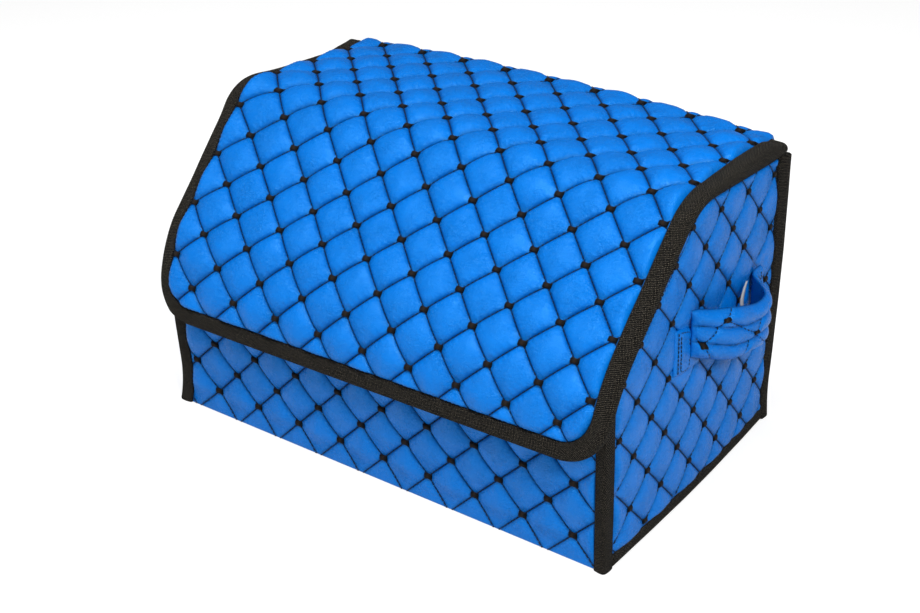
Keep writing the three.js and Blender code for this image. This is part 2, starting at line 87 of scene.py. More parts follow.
# Section of lid, fold and rear wall
def section():
    s = np.arange(20.0, LID_END + 30.0, 0.5)
    fine = np.arange(0.0, LID_END + 30.0, 0.05)
    head = np.where(fine <= TOP_STRAIGHT, TOP_FALL, np.where(
        fine <= FLAP_START, TOP_FALL - (fine - TOP_STRAIGHT) / CREASE_RADIUS, np.where(
            fine <= LIP_START, -FLAP_SLOPE, -FLAP_SLOPE - (fine - LIP_START) / LIP_RADIUS)))
    y = REAR_Y - np.concatenate([[0], np.cumsum(np.cos(head[:-1]) * 0.05)])
    z = LID_REAR_HEIGHT + np.concatenate([[0], np.cumsum(np.sin(head[:-1]) * 0.05)])
    lid = np.stack([np.interp(s, fine, y), np.interp(s, fine, z)], 1)
    # Roll of the cover over the rear fold, as offsets from the fold's middle
    keys = np.array([
        [1.0, -30], [1.0, -22], [1.5, -14], [3.6, -7.0], [5.5, -1.0], [4.9, 3.6], [1.4, 6.2],
        [-3.5, 6.3], [-9.0, 5.6], [-14.5, 5.2], [-20 * math.cos(TOP_FALL), 3.65 + 20 * math.sin(TOP_FALL)]])
    keys = keys + [REAR_Y, FOLD_Z]
    ext = np.vstack([2 * keys[0] - keys[1], keys, lid[4]])
    pts = []
    for i in range(1, len(ext) - 2):
        p0, p1, p2, p3 = ext[i - 1:i + 3]
        for t in np.linspace(0, 1, 12, endpoint=False):
            pts.append(0.5 * (2 * p1 + (p2 - p0) * t + (2 * p0 - 5 * p1 + 4 * p2 - p3) * t * t
                              + (3 * p1 - p0 - 3 * p2 + p3) * t ** 3))
    fold = np.array(pts)
    back = np.stack([np.full(140, keys[0][0]), np.linspace(0, keys[0][1], 140, endpoint=False)], 1)
    path = np.vstack([back, fold, lid])
    step = np.linalg.norm(np.diff(path, axis=0), axis=1)
    run = np.concatenate([[0], np.cumsum(step)])
    run = run - run[len(back) + len(fold)] + 20.0
    grid = np.arange(run[0], run[-1], 0.5)
    y = np.interp(grid, run, path[:, 0])
    z = np.interp(grid, run, path[:, 1])
    ty, tz = np.gradient(y), np.gradient(z)
    k = np.hanning(9)
    k /= k.sum()
    ty, tz = np.convolve(ty, k, "same"), np.convolve(tz, k, "same")
    ty[:6], tz[:6] = 0, 1
    ty[-6:], tz[-6:] = ty[-7], tz[-7]
    ln = np.hypot(ty, tz)
    return grid, y, z, tz / ln, -ty / ln


SEC = section()

# Places along the section where the rear wall, the fold and the lid meet
STRIP_DROP = 14.5
WALL_FOOT = TAPE + SOLE_LIFT + CORNER_TAPE_WIDTH + GAP
S_STRIP = float(SEC[0][np.argmax(SEC[2] > FOLD_Z - STRIP_DROP)])
S_FOOT = float(SEC[0][np.argmax(SEC[2] > WALL_FOOT)])
S_JOIN = 13.0


def smooth(t):
    t = np.clip(t, 0, 1)
    return t * t * (3 - 2 * t)


def rise(x, start, length):
    """0 before the start, 1 from start + length on, with a soft step between."""
    return smooth((x - start) / length)


def bump_at(x, middle, width):
    return np.exp(-((x - middle) / width) ** 2)


def floats(*values):
    return np.broadcast_arrays(*(np.asarray(x, float) for x in values))


def offset_section(s, level):
    """Depth and height of the layer that lies at a level from the section."""
    y, z, ny, nz = (np.interp(s, SEC[0], c) for c in SEC[1:])
    return y + level * ny, z + level * nz


def lid_top_z(y):
    """Height of the lid's underside above a place along the depth."""
    order = np.argsort(SEC[1][SEC[0] > 0])
    ys = (SEC[1] + EDGE_UNDER * SEC[3])[SEC[0] > 0][order]
    zs = (SEC[2] + EDGE_UNDER * SEC[4])[SEC[0] > 0][order]
    return np.interp(y, ys, zs)


def crown(u, s):
    """The lid and the upper rear wall are stuffed fuller in the middle."""
    lid_reach, wall_reach, height = 150, 70, 8.5
    g = np.where(s > 8, 0.5 + 0.5 * np.cos(math.pi * np.clip((s - 8) / lid_reach, 0, 1)),
                 0.5 + 0.5 * np.cos(math.pi * np.clip((-10 - s) / wall_reach, 0, 1)))
    return height * g * (1 - np.clip(np.abs(u) / LID_HALF, 0, 1) ** 2.2)


def lid_edge(u, s):
    """Shifts of the lid's edge, aside and upwards, as measured on the photo."""
    crease_bow, lip_bow, side_bow = 5.5, 1.2, 6.5
    crest_lift, edge_droop, rear_lift = 4.0, 0.24, 5.0
    left = rise(-u, 196, 60) * rise(s, 12, 40)
    out = left * (crease_bow * bump_at(s, SPLIT, 80) + lip_bow * rise(s, 200, 50))
    flap_side = rise(-u, 120, 130) * rise(s, SPLIT - 30, 60)
    out = out + side_bow * flap_side * (1 - 0.5 * rise(s, LID_END - 90, 70))
    lift = left * crest_lift * bump_at(s, SPLIT, 26)
    lift = lift - edge_droop * np.maximum(-u - 236, 0) * rise(s, 12, 40)
    lift = lift + rear_lift * rise(u, 170, 80) * rise(s, 4, 24) * (1 - rise(s, 70, 70))
    return -out, lift


def soften(p):
    """The walls bow outwards a little, most at mid height, and flare at the foot."""
    side_bulge, left_bulge, rear_bulge = 3.8, 4.5, 7.0
    side_flare, front_flare, flare_height = 3.5, 5.5, 45
    x, y, z = p[..., 0].copy(), p[..., 1].copy(), p[..., 2].copy()
    mid_height = np.sin(math.pi * np.clip(z / 292, 0, 1))
    along = 1 - np.clip(np.abs(y) / 150, 0, 1) ** 2
    top = np.maximum(lid_top_z(np.clip(y, -150, 148)), 60)
    side = rise(np.abs(x), 190, 55)
    belly = along * (1 - np.clip(z / top, 0, 1) ** 2)
    left = left_bulge * np.sin(math.pi * np.clip(z / 250, 0, 1))
    dx = np.where(x > 0, side_bulge * belly, -side_bulge * belly - left)
    flare = (1 - np.clip(z / flare_height, 0, 1)) ** 2
    dx = dx + np.sign(x) * side_flare * flare
    back = rise(y, 60, 80) * rear_bulge * mid_height * (1 - 0.25 * np.clip(np.abs(x) / 250, 0, 1))
    q = p.copy()
    q[..., 0] = x + side * dx
    q[..., 1] = y - rise(-y, 100, 40) * front_flare * flare + back
    return q


def on_top(u, s, h):
    """Lid, fold and rear wall as one cloth: across, along, outwards from the stitched level."""
    u, s, h = floats(u, s, h)
    y, z, ny, nz = (np.interp(s, SEC[0], c) for c in SEC[1:])
    aside, lift = lid_edge(u, s)
    h = h + lift * smooth((h + 7) / 6)
    p = np.stack([u + aside, y + h * ny, z + h * nz + crown(u, s)], -1)
    return np.where((s < 40)[..., None], soften(p), p)


def on_front(u, v, h):
    u, v, h = floats(u, v, h)
    return soften(np.stack([u, -HALF_D - h, v], -1))


def on_side(side):
    def place(u, v, h):
        u, v, h = floats(u, v, h)
        return soften(np.stack([side * (HALF_W + h), u, v], -1))
    return place


# Meshes
def add_object(name, verts, faces, material, uv, normals=None, crease=None):
    """verts in mm in the source's frame; the object is made in metres in the part's frame."""
    mesh = bpy.data.meshes.new(name)
    v = (np.asarray(verts, float) + [0, SHIFT_Y, 0]) * 0.001
    mesh.from_pydata(v.tolist(), [], [list(map(int, f)) for f in faces])
    mesh.materials.append(material)
    mesh.polygons.foreach_set("use_smooth", np.full(len(mesh.polygons), True))
    layer = mesh.uv_layers.new(name="UVMap")
    loops = np.zeros(len(mesh.loops), np.int32)
    mesh.loops.foreach_get("vertex_index", loops)
    layer.data.foreach_set("uv", (np.asarray(uv, float)[loops] * 0.001).astype(np.float32).ravel())
    # crease: how much painted shade the material puts on each point
    if crease is not None:
        layer = mesh.attributes.new("crease", "FLOAT", "POINT")
        layer.data.foreach_set("value", np.asarray(crease, np.float32))
    mesh.update()
    if normals is not None:
        mesh.normals_split_custom_set_from_vertices(np.asarray(normals, float).tolist())
    mesh.validate()
    obj = bpy.data.objects.new(name, mesh)
    bpy.context.scene.collection.objects.link(obj)
    return obj


def outline_area(outline):
    pts = np.asarray(outline, float)
    nxt = np.roll(pts, -1, 0)
    return ((pts[:, 0] * nxt[:, 1] - nxt[:, 0] * pts[:, 1]).sum()) / 2


def grid_quads(nu, nv):
    """Faces of a grid of nu by nv points, counted row by row."""
    i, j = np.meshgrid(np.arange(nu - 1), np.arange(nv - 1), indexing="ij")
    k = (i * nv + j).ravel()
    return np.stack([k, k + nv, k + nv + 1, k + 1], 1)


def slab_faces(nu, nv, flip):
    """Faces of a grid, of a second grid behind it and of the rim between them."""
    quads, n = grid_quads(nu, nv), nu * nv
    rim = [(r * nv, (r + 1) * nv) for r in range(nu - 1)]
    rim += [((nu - 1) * nv + c, (nu - 1) * nv + c + 1) for c in range(nv - 1)]
    rim += [((r + 1) * nv + nv - 1, r * nv + nv - 1) for r in range(nu - 1)]
    rim += [(c + 1, c) for c in range(nv - 1)]
    faces = quads.tolist() + (quads[:, ::-1] + n).tolist() + [[b, a, a + n, b + n] for a, b in rim]
    return [f[::-1] for f in faces] if flip else faces


def edge_planes(outline):
    """Inward half planes of a convex outline, counted the way it turns."""
    pts = np.asarray(outline, float)
    nxt = np.roll(pts, -1, 0)
    d = nxt - pts
    n = np.stack([-d[:, 1], d[:, 0]], 1) * (1 if outline_area(outline) > 0 else -1)
    n /= np.linalg.norm(n, axis=1, keepdims=True)
    return n, (n * pts).sum(1)


def inside_distance(outline, u, v, skip=()):
    n, c = edge_planes(outline)
    out = np.full(np.shape(u), 1e9)
    for k in range(len(n)):
        if k not in skip:
            out = np.minimum(out, n[k, 0] * u + n[k, 1] * v - c[k])
    return out


def clip_poly(poly, n, c):
    out = []
    for i, p in enumerate(poly):
        q = poly[(i + 1) % len(poly)]
        dp, dq = n[0] * p[0] + n[1] * p[1] - c, n[0] * q[0] + n[1] * q[1] - c
        if dp >= -1e-9:
            out.append(p)
        if (dp < -1e-9 and dq > 1e-9) or (dp > 1e-9 and dq < -1e-9):
            t = dp / (dp - dq)
            out.append((p[0] + t * (q[0] - p[0]), p[1] + t * (q[1] - p[1])))
    return out


def cut_grid(u, v, quads, outline):
    """Keeps the part of a grid of quads that lies in a convex outline. Gives points and faces."""
    n, c = edge_planes(outline)
    dq = inside_distance(outline, u, v)[quads]
    whole = (dq >= -1e-6).all(1)
    maybe = ~whole & (dq.max(1) > -12)
    points, faces, where = [], [], {}

    def spot(x, y):
        key = (round(x, 3), round(y, 3))
        if key not in where:
            where[key] = len(points)
            points.append((x, y))
        return where[key]

    used = {}
    for q in quads[whole]:
        face = []
        for k in q:
            if k not in used:
                used[k] = spot(float(u[k]), float(v[k]))
            face.append(used[k])
        faces.append(face)
    for q in quads[maybe]:
        poly = [(float(u[k]), float(v[k])) for k in q]
        for k in range(len(n)):
            poly = clip_poly(poly, n[k], c[k])
            if len(poly) < 3:
                break
        if len(poly) < 3:
            continue
        face = [spot(*p) for p in poly]
        face = [f for i, f in enumerate(face) if f != face[i - 1]]
        if len(set(face)) < 3:
            continue
        a = np.array([points[f] for f in face])
        b = np.roll(a, -1, 0)
        if abs((a[:, 0] * b[:, 1] - b[:, 0] * a[:, 1]).sum()) > 0.02:
            faces.append(face)
    return np.array(points), faces


def free_edges(faces):
    seen = {}
    for f in faces:
        for i, a in enumerate(f):
            b = f[(i + 1) % len(f)]
            seen[(a, b)] = seen.get((a, b), 0) + 1
    return [(a, b) for (a, b) in seen if (b, a) not in seen]


def close_back(points, faces, inner_step=30.0):
    """Back faces for a flat cut: (extra inner points, back faces over edge and inner points, free edges)."""
    edges = free_edges(faces)
    ids = sorted({a for e in edges for a in e})
    index = {k: i for i, k in enumerate(ids)}
    lo, hi = points.min(0), points.max(0)
    n, c = edge_planes(hull_of(points[ids]))
    inner = []
    for x in np.arange(lo[0] + inner_step / 2, hi[0], inner_step):
        for y in np.arange(lo[1] + inner_step / 2, hi[1], inner_step):
            if ((n @ np.array([x, y])) - c).min() > inner_step * 0.3:
                inner.append((x, y))
    co = [Vector(points[k]) for k in ids] + [Vector(p) for p in inner]
    vs, _, fs, orig, _, _ = delaunay_2d_cdt(co, [(index[a], index[b]) for a, b in edges], [], 1, 1e-4)
    extra, names = [], []
    for k, v in enumerate(vs):
        first = [o for o in orig[k] if o < len(ids)]
        if first:
            names.append(("edge", ids[first[0]]))
        else:
            names.append(("inner", len(extra)))
            extra.append((v[0], v[1]))
    return extra, [[names[k] for k in f] for f in fs], edges


def hull_of(pts):
    pts = sorted(map(tuple, pts))

    def half(seq):
        out = []
        for p in seq:
            while len(out) > 1 and ((out[-1][0] - out[-2][0]) * (p[1] - out[-2][1])
                                    - (out[-1][1] - out[-2][1]) * (p[0] - out[-2][0])) <= 0:
                out.pop()
            out.append(p)
        return out[:-1]
    return half(pts) + half(pts[::-1])


# Quilting
GROOVE = 0.006
PAD_BORDER, EDGE_RIM = 5.5, 0.1
PAD_BACK = -COVER + 0.1
# Puckers along the stitch lines: height, distance from the line, spread
PUCKER, PUCKER_PLACE, PUCKER_SPREAD = 0.24, 4.0, 2.6
# Around a knot the cloth is drawn down: flat part and slope, measured from the crossing
KNOT_FLAT, KNOT_SLOPE = 1.5, 8.5
# Height of the wrinkles on the pads, and how fast the painted shade fades away from a stitch line
WRINKLE, SEAM_SHADE_WIDTH = 0.35, 1.25


def dome(t):
    return (4 * t * (1 - t)) ** 0.5


def near(t, side):
    """Most at the puckers' distance from a stitch line."""
    return bump_at(np.minimum(t, 1 - t) * side, PUCKER_PLACE, PUCKER_SPREAD)


def ripple(t, phase, length, side):
    return np.sin(2 * math.pi * (t * side / length + phase))


class Lattice:
    """Diagonal stitch lines that cross at the knots. a and b count cells along both families."""

    def __init__(self, u0, v0, pu=PITCH_ACROSS, pv=PITCH_DOWN, turn=0.0, height=9.0, seed=0, calm=None):
        self.u0, self.v0, self.pu, self.pv, self.turn = u0, v0, pu, pv, turn
        self.height, self.seed, self.calm = height, seed, calm
        self.side = math.hypot(pu, pv) / 2

    def ab(self, u, v):
        c, s = math.cos(self.turn), math.sin(self.turn)
        du, dv = u - self.u0, v - self.v0
        x, y = c * du + s * dv, -s * du + c * dv
        return x / self.pu + y / self.pv, -x / self.pu + y / self.pv

    def uv(self, a, b):
        c, s = math.cos(self.turn), math.sin(self.turn)
        x, y = (a - b) * self.pu / 2, (a + b) * self.pv / 2
        return self.u0 + c * x - s * y, self.v0 + s * x + c * y

    def crease(self, u, v):
        """Weight of the painted shade in the grooves: 1 on a stitch line, falling to 0 on the pads."""
        a, b = self.ab(u, v)
        d = np.minimum(np.abs(a - np.round(a)), np.abs(b - np.round(b))) * self.side
        return np.exp(-d / SEAM_SHADE_WIDTH)

    def chance(self, layer, ia, ib):
        return TABLE[layer][(ia * 7 + ib * 3 + self.seed * 13) % 64, (ib * 11 + ia + self.seed * 5) % 64]

    def pads(self, u, v):
        """Height of the stuffed cells over the stitched level."""
        a, b = self.ab(u, v)
        ia, ib = np.floor(a).astype(int), np.floor(b).astype(int)
        fa, fb = a - ia, b - ib
        r0, r1, r2, r3 = (self.chance(k, ia, ib) for k in range(4))
        ta = np.clip((fa - GROOVE) / (1 - 2 * GROOVE), 0, 1)
        tb = np.clip((fb - GROOVE) / (1 - 2 * GROOVE), 0, 1)
        # Each pad leans a little to one side, and no two are stuffed alike
        ta = ta + (0.12 * (r1 - 0.5) - 0.05) * ta * (1 - ta)
        tb = tb + (0.12 * (r2 - 0.5) - 0.05) * tb * (1 - tb)
        fullness = self.height * (0.90 + 0.2 * r0)
        da, db = dome(ta), dome(tb)
        corner = np.hypot(np.minimum(fa, 1 - fa), np.minimum(fb, 1 - fb)) * self.side
        h = fullness * da * db * rise(corner, KNOT_FLAT, KNOT_SLOPE) ** 0.7
        if self.calm is not None:
            h = h * self.calm(u, v)
        # Puckers that the stitching draws into the edges of each cell
        h = h + PUCKER * near(fa, self.side) * ripple(fb, r3, 5.6 + 2 * r0, self.side) * db
        h = h + PUCKER * near(fb, self.side) * ripple(fa, r0, 6.2 + 2 * r3, self.side) * da
        return h + WRINKLE * da * db * np.sin(fa * 9 + 6 * r1) * np.sin(fb * 8 + 6 * r2)


STEPS = [0, 0.008, 0.03, 0.085, 0.14, 0.21, 0.29, 0.38, 0.46]
STEPS = np.array(STEPS + [0.54] + [1 - t for t in STEPS[:0:-1]])


def outwards(place, u, v):
    """Direction in which a place function stacks its heights, 5 mm long."""
    return place(u, v, 5.0) - place(u, v, 0.0)


def quilt(name, outline, lattice, place, open_edges=(), press=None):
    """A stitched, stuffed cover over a convex outline. open_edges run on into another piece."""
    pts = np.asarray(outline, float)
    a, b = lattice.ab(pts[:, 0], pts[:, 1])
    line = lambda lo, hi: np.unique(np.round(np.concatenate(
        [k + STEPS for k in range(int(math.floor(lo)), int(math.ceil(hi)))]), 6))
    la, lb = line(a.min(), a.max()), line(b.min(), b.max())
    ga, gb = np.meshgrid(la, lb, indexing="ij")
    u, v = lattice.uv(ga.ravel(), gb.ravel())
    flat, faces = cut_grid(u, v, grid_quads(len(la), len(lb)), outline)

    def height(uu, vv):
        h = lattice.pads(uu, vv)
        d = inside_distance(outline, uu, vv, open_edges)
        edge = np.clip(d / PAD_BORDER, 0, 1)
        h = h * np.sqrt(np.clip(1 - (1 - edge) ** 2, 0, 1)) + EDGE_RIM * (1 - smooth(d / 6))
        return h if press is None else press(uu, vv, h)

    def at(uu, vv):
        return place(uu, vv, height(uu, vv))

    U, V = flat[:, 0], flat[:, 1]
    top = at(U, V)
    probe = 0.35
    du = at(U + probe, V) - at(U - probe, V)
    dv = at(U, V + probe) - at(U, V - probe)
    nrm = np.cross(du, dv)
    out = outwards(place, U, V)
    nrm *= np.sign((nrm * out).sum(1))[:, None]
    nrm /= np.maximum(np.linalg.norm(nrm, axis=1, keepdims=True), 1e-9)
    extra, back_faces, edges = close_back(flat, faces)
    n_top = len(flat)
    ids = sorted({x for ed in edges for x in ed})
    back_of = {x: n_top + i for i, x in enumerate(ids)}
    inner0 = n_top + len(ids)
    buv = np.vstack([flat[ids]] + ([np.array(extra)] if extra else []))
    back = place(buv[:, 0], buv[:, 1], PAD_BACK)
    verts = np.vstack([top, back])
    all_faces = list(faces)
    all_faces += [[back_of[k] if kind == "edge" else inner0 + k for kind, k in f][::-1] for f in back_faces]
    all_faces += [[b2, a2, back_of[a2], back_of[b2]] for a2, b2 in edges]
    first = np.array([top[x] for x in faces[len(faces) // 2]])
    turn = np.dot(np.cross(first[1] - first[0], first[2] - first[1]), out[faces[len(faces) // 2][0]])
    if turn < 0:
        all_faces = [f[::-1] for f in all_faces]
    normals = np.vstack([nrm, -outwards(place, buv[:, 0], buv[:, 1]) / 5.0])
    uv = np.vstack([flat, buv])
    # Painted shade along the stitch lines, none on the back faces
    crease = np.concatenate([lattice.crease(U, V), np.zeros(len(buv))])
    return add_object(name, verts, all_faces, BLUE, uv, normals, crease)


def knot_spots(outline, lattice, margin=3.0, room=5.2):
    """Where stitch lines cross. Knots next to the border are drawn in a little."""
    pts = np.asarray(outline, float)
    a, b = lattice.ab(pts[:, 0], pts[:, 1])
    ia, ib = np.meshgrid(np.arange(math.floor(a.min()), math.ceil(a.max()) + 1),
                         np.arange(math.floor(b.min()), math.ceil(b.max()) + 1))
    u, v = lattice.uv(ia.ravel().astype(float), ib.ravel().astype(float))
    n, c = edge_planes(outline)
    gaps = n[:, :1] * u + n[:, 1:] * v - c[:, None]
    close = gaps.argmin(0)
    d = gaps.min(0)
    shift = np.where((d > margin) & (d < room), room - d, 0)
    u, v = u + n[close, 0] * shift, v + n[close, 1] * shift
    return u[d > margin], v[d > margin]


def knots(name, spots, place, material, lift=-0.2, turn=0.0, size=(9.6, 6.2, 2.9)):
    """Small sewn bars where the stitch lines cross."""
    nx, ny = 13, 7
    gx, gy = np.meshgrid(np.linspace(-1, 1, nx), np.linspace(-1, 1, ny), indexing="ij")
    bulge = (1 - np.abs(gx) ** 6) * (1 - np.abs(gy) ** 4)
    hz = size[2] * bulge ** 0.4 + 0.16 * np.cos(gx * 6 * math.pi) * bulge
    waist = 1 - 0.10 * np.cos(gx * math.pi / 2) ** 2
    x, y = gx * size[0] / 2 * (1 - 0.06 * gy ** 4), gy * size[1] / 2 * waist
    c, s = math.cos(turn), math.sin(turn)
    x, y = (c * x - s * y).ravel(), (s * x + c * y).ravel()
    hz = hz.ravel()
    U, V = spots
    n = len(U)
    wob = 1 + 0.08 * (rng.random((n, 1)) - 0.5)
    uu = U[:, None] + x[None] * wob
    vv = V[:, None] + y[None] * wob
    verts = place(uu, vv, lift + hz[None] * np.ones((n, 1))).reshape(-1, 3)
    faces = (grid_quads(nx, ny)[None] + (np.arange(n) * nx * ny)[:, None, None]).reshape(-1, 4)
    ring = list(range(ny)) + [r * ny + ny - 1 for r in range(1, nx)]
    ring += [(nx - 1) * ny + r for r in range(ny - 2, -1, -1)] + [r * ny for r in range(nx - 2, 0, -1)]
    caps = [[r + k * nx * ny for r in ring] for k in range(n)]
    sample = verts[faces[0]]
    up = outwards(place, U[:1], V[:1])[0]
    turn_ok = np.dot(np.cross(sample[1] - sample[0], sample[2] - sample[1]), up) > 0
    faces = faces if turn_ok else faces[:, ::-1]
    caps = caps if turn_ok else [c2[::-1] for c2 in caps]
    uv = np.stack([np.tile(x, n), np.tile(y, n)], 1)
    return add_object(name, verts, faces.tolist() + caps, material, uv)


def stitch_runs(outline, lattice, margin=0.2, length=3.7, pitch=4.2, skip=6.0):
    """Ends of each stitch along both families of lines, clear of the knots and the border."""
    pts = np.asarray(outline, float)
    a, b = lattice.ab(pts[:, 0], pts[:, 1])
    out = []
    side = lattice.side
    count = int(round((side - skip) / pitch))
    offsets = (np.arange(count) - (count - 1) / 2) * pitch / side + 0.5
    half = length / 2 / side
    for along in (0, 1):
        lo, hi = (b, a) if along == 0 else (a, b)
        for fixed in range(math.floor(lo.min()), math.ceil(lo.max()) + 1):
            for cell in range(math.floor(hi.min()), math.ceil(hi.max()) + 1):
                t0, t1 = cell + offsets - half, cell + offsets + half
                f = np.full(count, float(fixed))
                if along == 0:
                    p, q = lattice.uv(t0, f), lattice.uv(t1, f)
                else:
                    p, q = lattice.uv(f, t0), lattice.uv(f, t1)
                out.append(np.stack([p[0], p[1], q[0], q[1]], 1))
    runs = np.vstack(out)
    d0 = inside_distance(outline, runs[:, 0], runs[:, 1]) - margin
    d1 = inside_distance(outline, runs[:, 2], runs[:, 3]) - margin
    runs, d0, d1 = (x[(d0 > 0) | (d1 > 0)] for x in (runs, d0, d1))
    p, q = runs[:, :2], runs[:, 2:]
    cut = np.clip(d0 / np.where(d0 - d1 == 0, 1, d0 - d1), 0, 1)[:, None]
    edge = p + (q - p) * cut
    runs = np.hstack([np.where(d0[:, None] < 0, edge, p), np.where(d1[:, None] < 0, edge, q)])
    return runs[np.hypot(runs[:, 2] - runs[:, 0], runs[:, 3] - runs[:, 1]) > 1.2]


def stitches(name, runs, place, material, radius=0.5, lift=0.8):
    """Threads as short spindles that dip into the cloth at both ends."""
    ring = 5
    ang = np.arange(ring) * 2 * math.pi / ring + 0.3
    t = np.array([0.0, 0.18, 0.5, 0.82, 1.0])
    fat = np.array([0.35, 0.95, 1.0, 0.95, 0.35])
    dip = np.array([-0.35, 0.0, 0.12, 0.0, -0.35])
    n, size = len(runs), ring * len(t)
    d = runs[:, 2:] - runs[:, :2]
    ln = np.linalg.norm(d, axis=1, keepdims=True)
    side = np.stack([-d[:, 1], d[:, 0]], 1) / ln
    slant = (rng.random((n, 1)) - 0.5) * 0.3
    off = slant * (t - 0.5)[None]
    cu = runs[:, 0][:, None] + d[:, 0][:, None] * t + side[:, :1] * off
    cv = runs[:, 1][:, None] + d[:, 1][:, None] * t + side[:, 1:] * off
    ca, sa = np.cos(ang), np.sin(ang)
    uu = cu[:, :, None] + side[:, 0][:, None, None] * (fat[:, None] * ca * radius)[None]
    vv = cv[:, :, None] + side[:, 1][:, None, None] * (fat[:, None] * ca * radius)[None]
    hh = lift + dip[None, :, None] + (fat[:, None] * sa * radius)[None] + np.zeros_like(uu)
    verts = place(uu.ravel(), vv.ravel(), hh.ravel())
    faces = []
    for r in range(len(t) - 1):
        for k in range(ring):
            m = (k + 1) % ring
            faces.append([r * ring + k, r * ring + m, (r + 1) * ring + m, (r + 1) * ring + k])
    caps = np.array([range(ring)[::-1], range(size - ring, size)])
    base = (np.arange(n) * size)[:, None, None]
    sleeves = (np.array(faces)[None] + base).reshape(-1, 4)
    ends = (caps[None] + base).reshape(-1, ring)
    first = verts[sleeves[0]]
    outwards = first.mean(0) - verts[:size].mean(0)
    if np.dot(np.cross(first[1] - first[0], first[2] - first[1]), outwards) < 0:
        sleeves, ends = sleeves[:, ::-1], ends[:, ::-1]
    return add_object(name, verts, sleeves.tolist() + ends.tolist(), material,
                      np.stack([uu.ravel(), vv.ravel()], 1))


# Tapes
def sweep(name, loops, material, lengths=None):
    """Loops: (stations, points, 3) in mm, each loop closed. Both ends are capped."""
    loops = np.asarray(loops, float)
    n, m = loops.shape[:2]
    verts = loops.reshape(-1, 3)
    faces = []
    for r in range(n - 1):
        for k in range(m):
            q = (k + 1) % m
            faces.append([r * m + k, r * m + q, (r + 1) * m + q, (r + 1) * m + k])
    s = verts[faces[0]]
    middle = (loops[0].mean(0) + loops[1].mean(0)) / 2
    flip = np.dot(np.cross(s[1] - s[0], s[2] - s[1]), s.mean(0) - middle) < 0
    faces += [list(range(m))[::-1], list(range((n - 1) * m, n * m))]
    if flip:
        faces = [f[::-1] for f in faces]
    if lengths is None:
        steps = np.linalg.norm(np.diff(loops.mean(1), axis=0), axis=1)
        lengths = np.concatenate([[0], np.cumsum(steps)])
    around = np.concatenate([[0], np.cumsum(np.linalg.norm(np.diff(loops[n // 2], axis=0), axis=1))])
    uv = np.stack([np.repeat(lengths, m), np.tile(around, n)], 1)
    return add_object(name, verts, faces, material, uv)


def wave(x, seed):
    """Slow unevenness of a hand-sewn tape along its length."""
    short, long = 0.6 * np.sin(x / 9.1 + 2.1 * seed), 0.4 * np.sin(x / 41.0 + seed * 3)
    return (np.sin(x / 23.0 + seed) + short + long) / 2


# Materials
class Nodes:
    def __init__(self, name):
        self.mat = bpy.data.materials.new(name)
        self.mat.use_nodes = True
        self.tree = self.mat.node_tree
        self.tree.nodes.clear()
        self.out = self.new("ShaderNodeOutputMaterial")
        self.bsdf = self.new("ShaderNodeBsdfPrincipled")
        self.link(self.bsdf.outputs[0], self.out.inputs["Surface"])

    def new(self, kind, **props):
        node = self.tree.nodes.new(kind)
        for k, v in props.items():
            setattr(node, k, v)
        return node

    def link(self, a, b):
        self.tree.links.new(a, b)

    def set(self, node, **values):
        for k, v in values.items():
            node.inputs[k.replace("_", " ")].default_value = v
        return node

    def coords(self, kind="UV", scale=(1, 1, 1), turn=0.0):
        c = self.new("ShaderNodeTexCoord")
        m = self.new("ShaderNodeMapping")
        m.inputs["Scale"].default_value = scale
        m.inputs["Rotation"].default_value = (0, 0, turn)
        self.link(c.outputs[kind], m.inputs["Vector"])
        return m.outputs["Vector"]

    def noise(self, vector, scale, detail=3.0, rough=0.5, distortion=0.0):
        n = self.new("ShaderNodeTexNoise")
        self.set(n, Scale=scale, Detail=detail, Roughness=rough, Distortion=distortion)
        self.link(vector, n.inputs["Vector"])
        return n.outputs["Fac"]

    def ramp(self, fac, stops):
        r = self.new("ShaderNodeValToRGB")
        el = r.color_ramp.elements
        while len(el) < len(stops):
            el.new(0.5)
        for e, (pos, col) in zip(el, stops):
            e.position = pos
            e.color = col if len(col) == 4 else (*col, 1)
        self.link(fac, r.inputs["Fac"])
        return r.outputs["Color"]

    def math(self, op, a, b=None):
        m = self.new("ShaderNodeMath", operation=op)
        for k, x in enumerate((a, b)):
            if x is None:
                continue
            if isinstance(x, (int, float)):
                m.inputs[k].default_value = x
            else:
                self.link(x, m.inputs[k])
        return m.outputs[0]

    def bump(self, height, strength, distance, after=None):
        b = self.new("ShaderNodeBump")
        b.inputs["Strength"].default_value = strength
        b.inputs["Distance"].default_value = distance
        self.link(height, b.inputs["Height"])
        if after is not None:
            self.link(after, b.inputs["Normal"])
        return b.outputs["Normal"]

    def dots(self, vector, scale, **values):
        """Distance to the nearest dot of a scattered pattern."""
        n = self.new("ShaderNodeTexVoronoi", feature="F1")
        self.set(n, Scale=scale, **values)
        self.link(vector, n.inputs["Vector"])
        return n.outputs["Distance"]

    def dress(self, normal, colour, **values):
        """Gives the surface its bump, its colour and its plain values."""
        self.link(normal, self.bsdf.inputs["Normal"])
        self.link(colour, self.bsdf.inputs["Base Color"])
        self.set(self.bsdf, **values)
        return self.mat


def grey(x):
    return (x, x, x, 1)


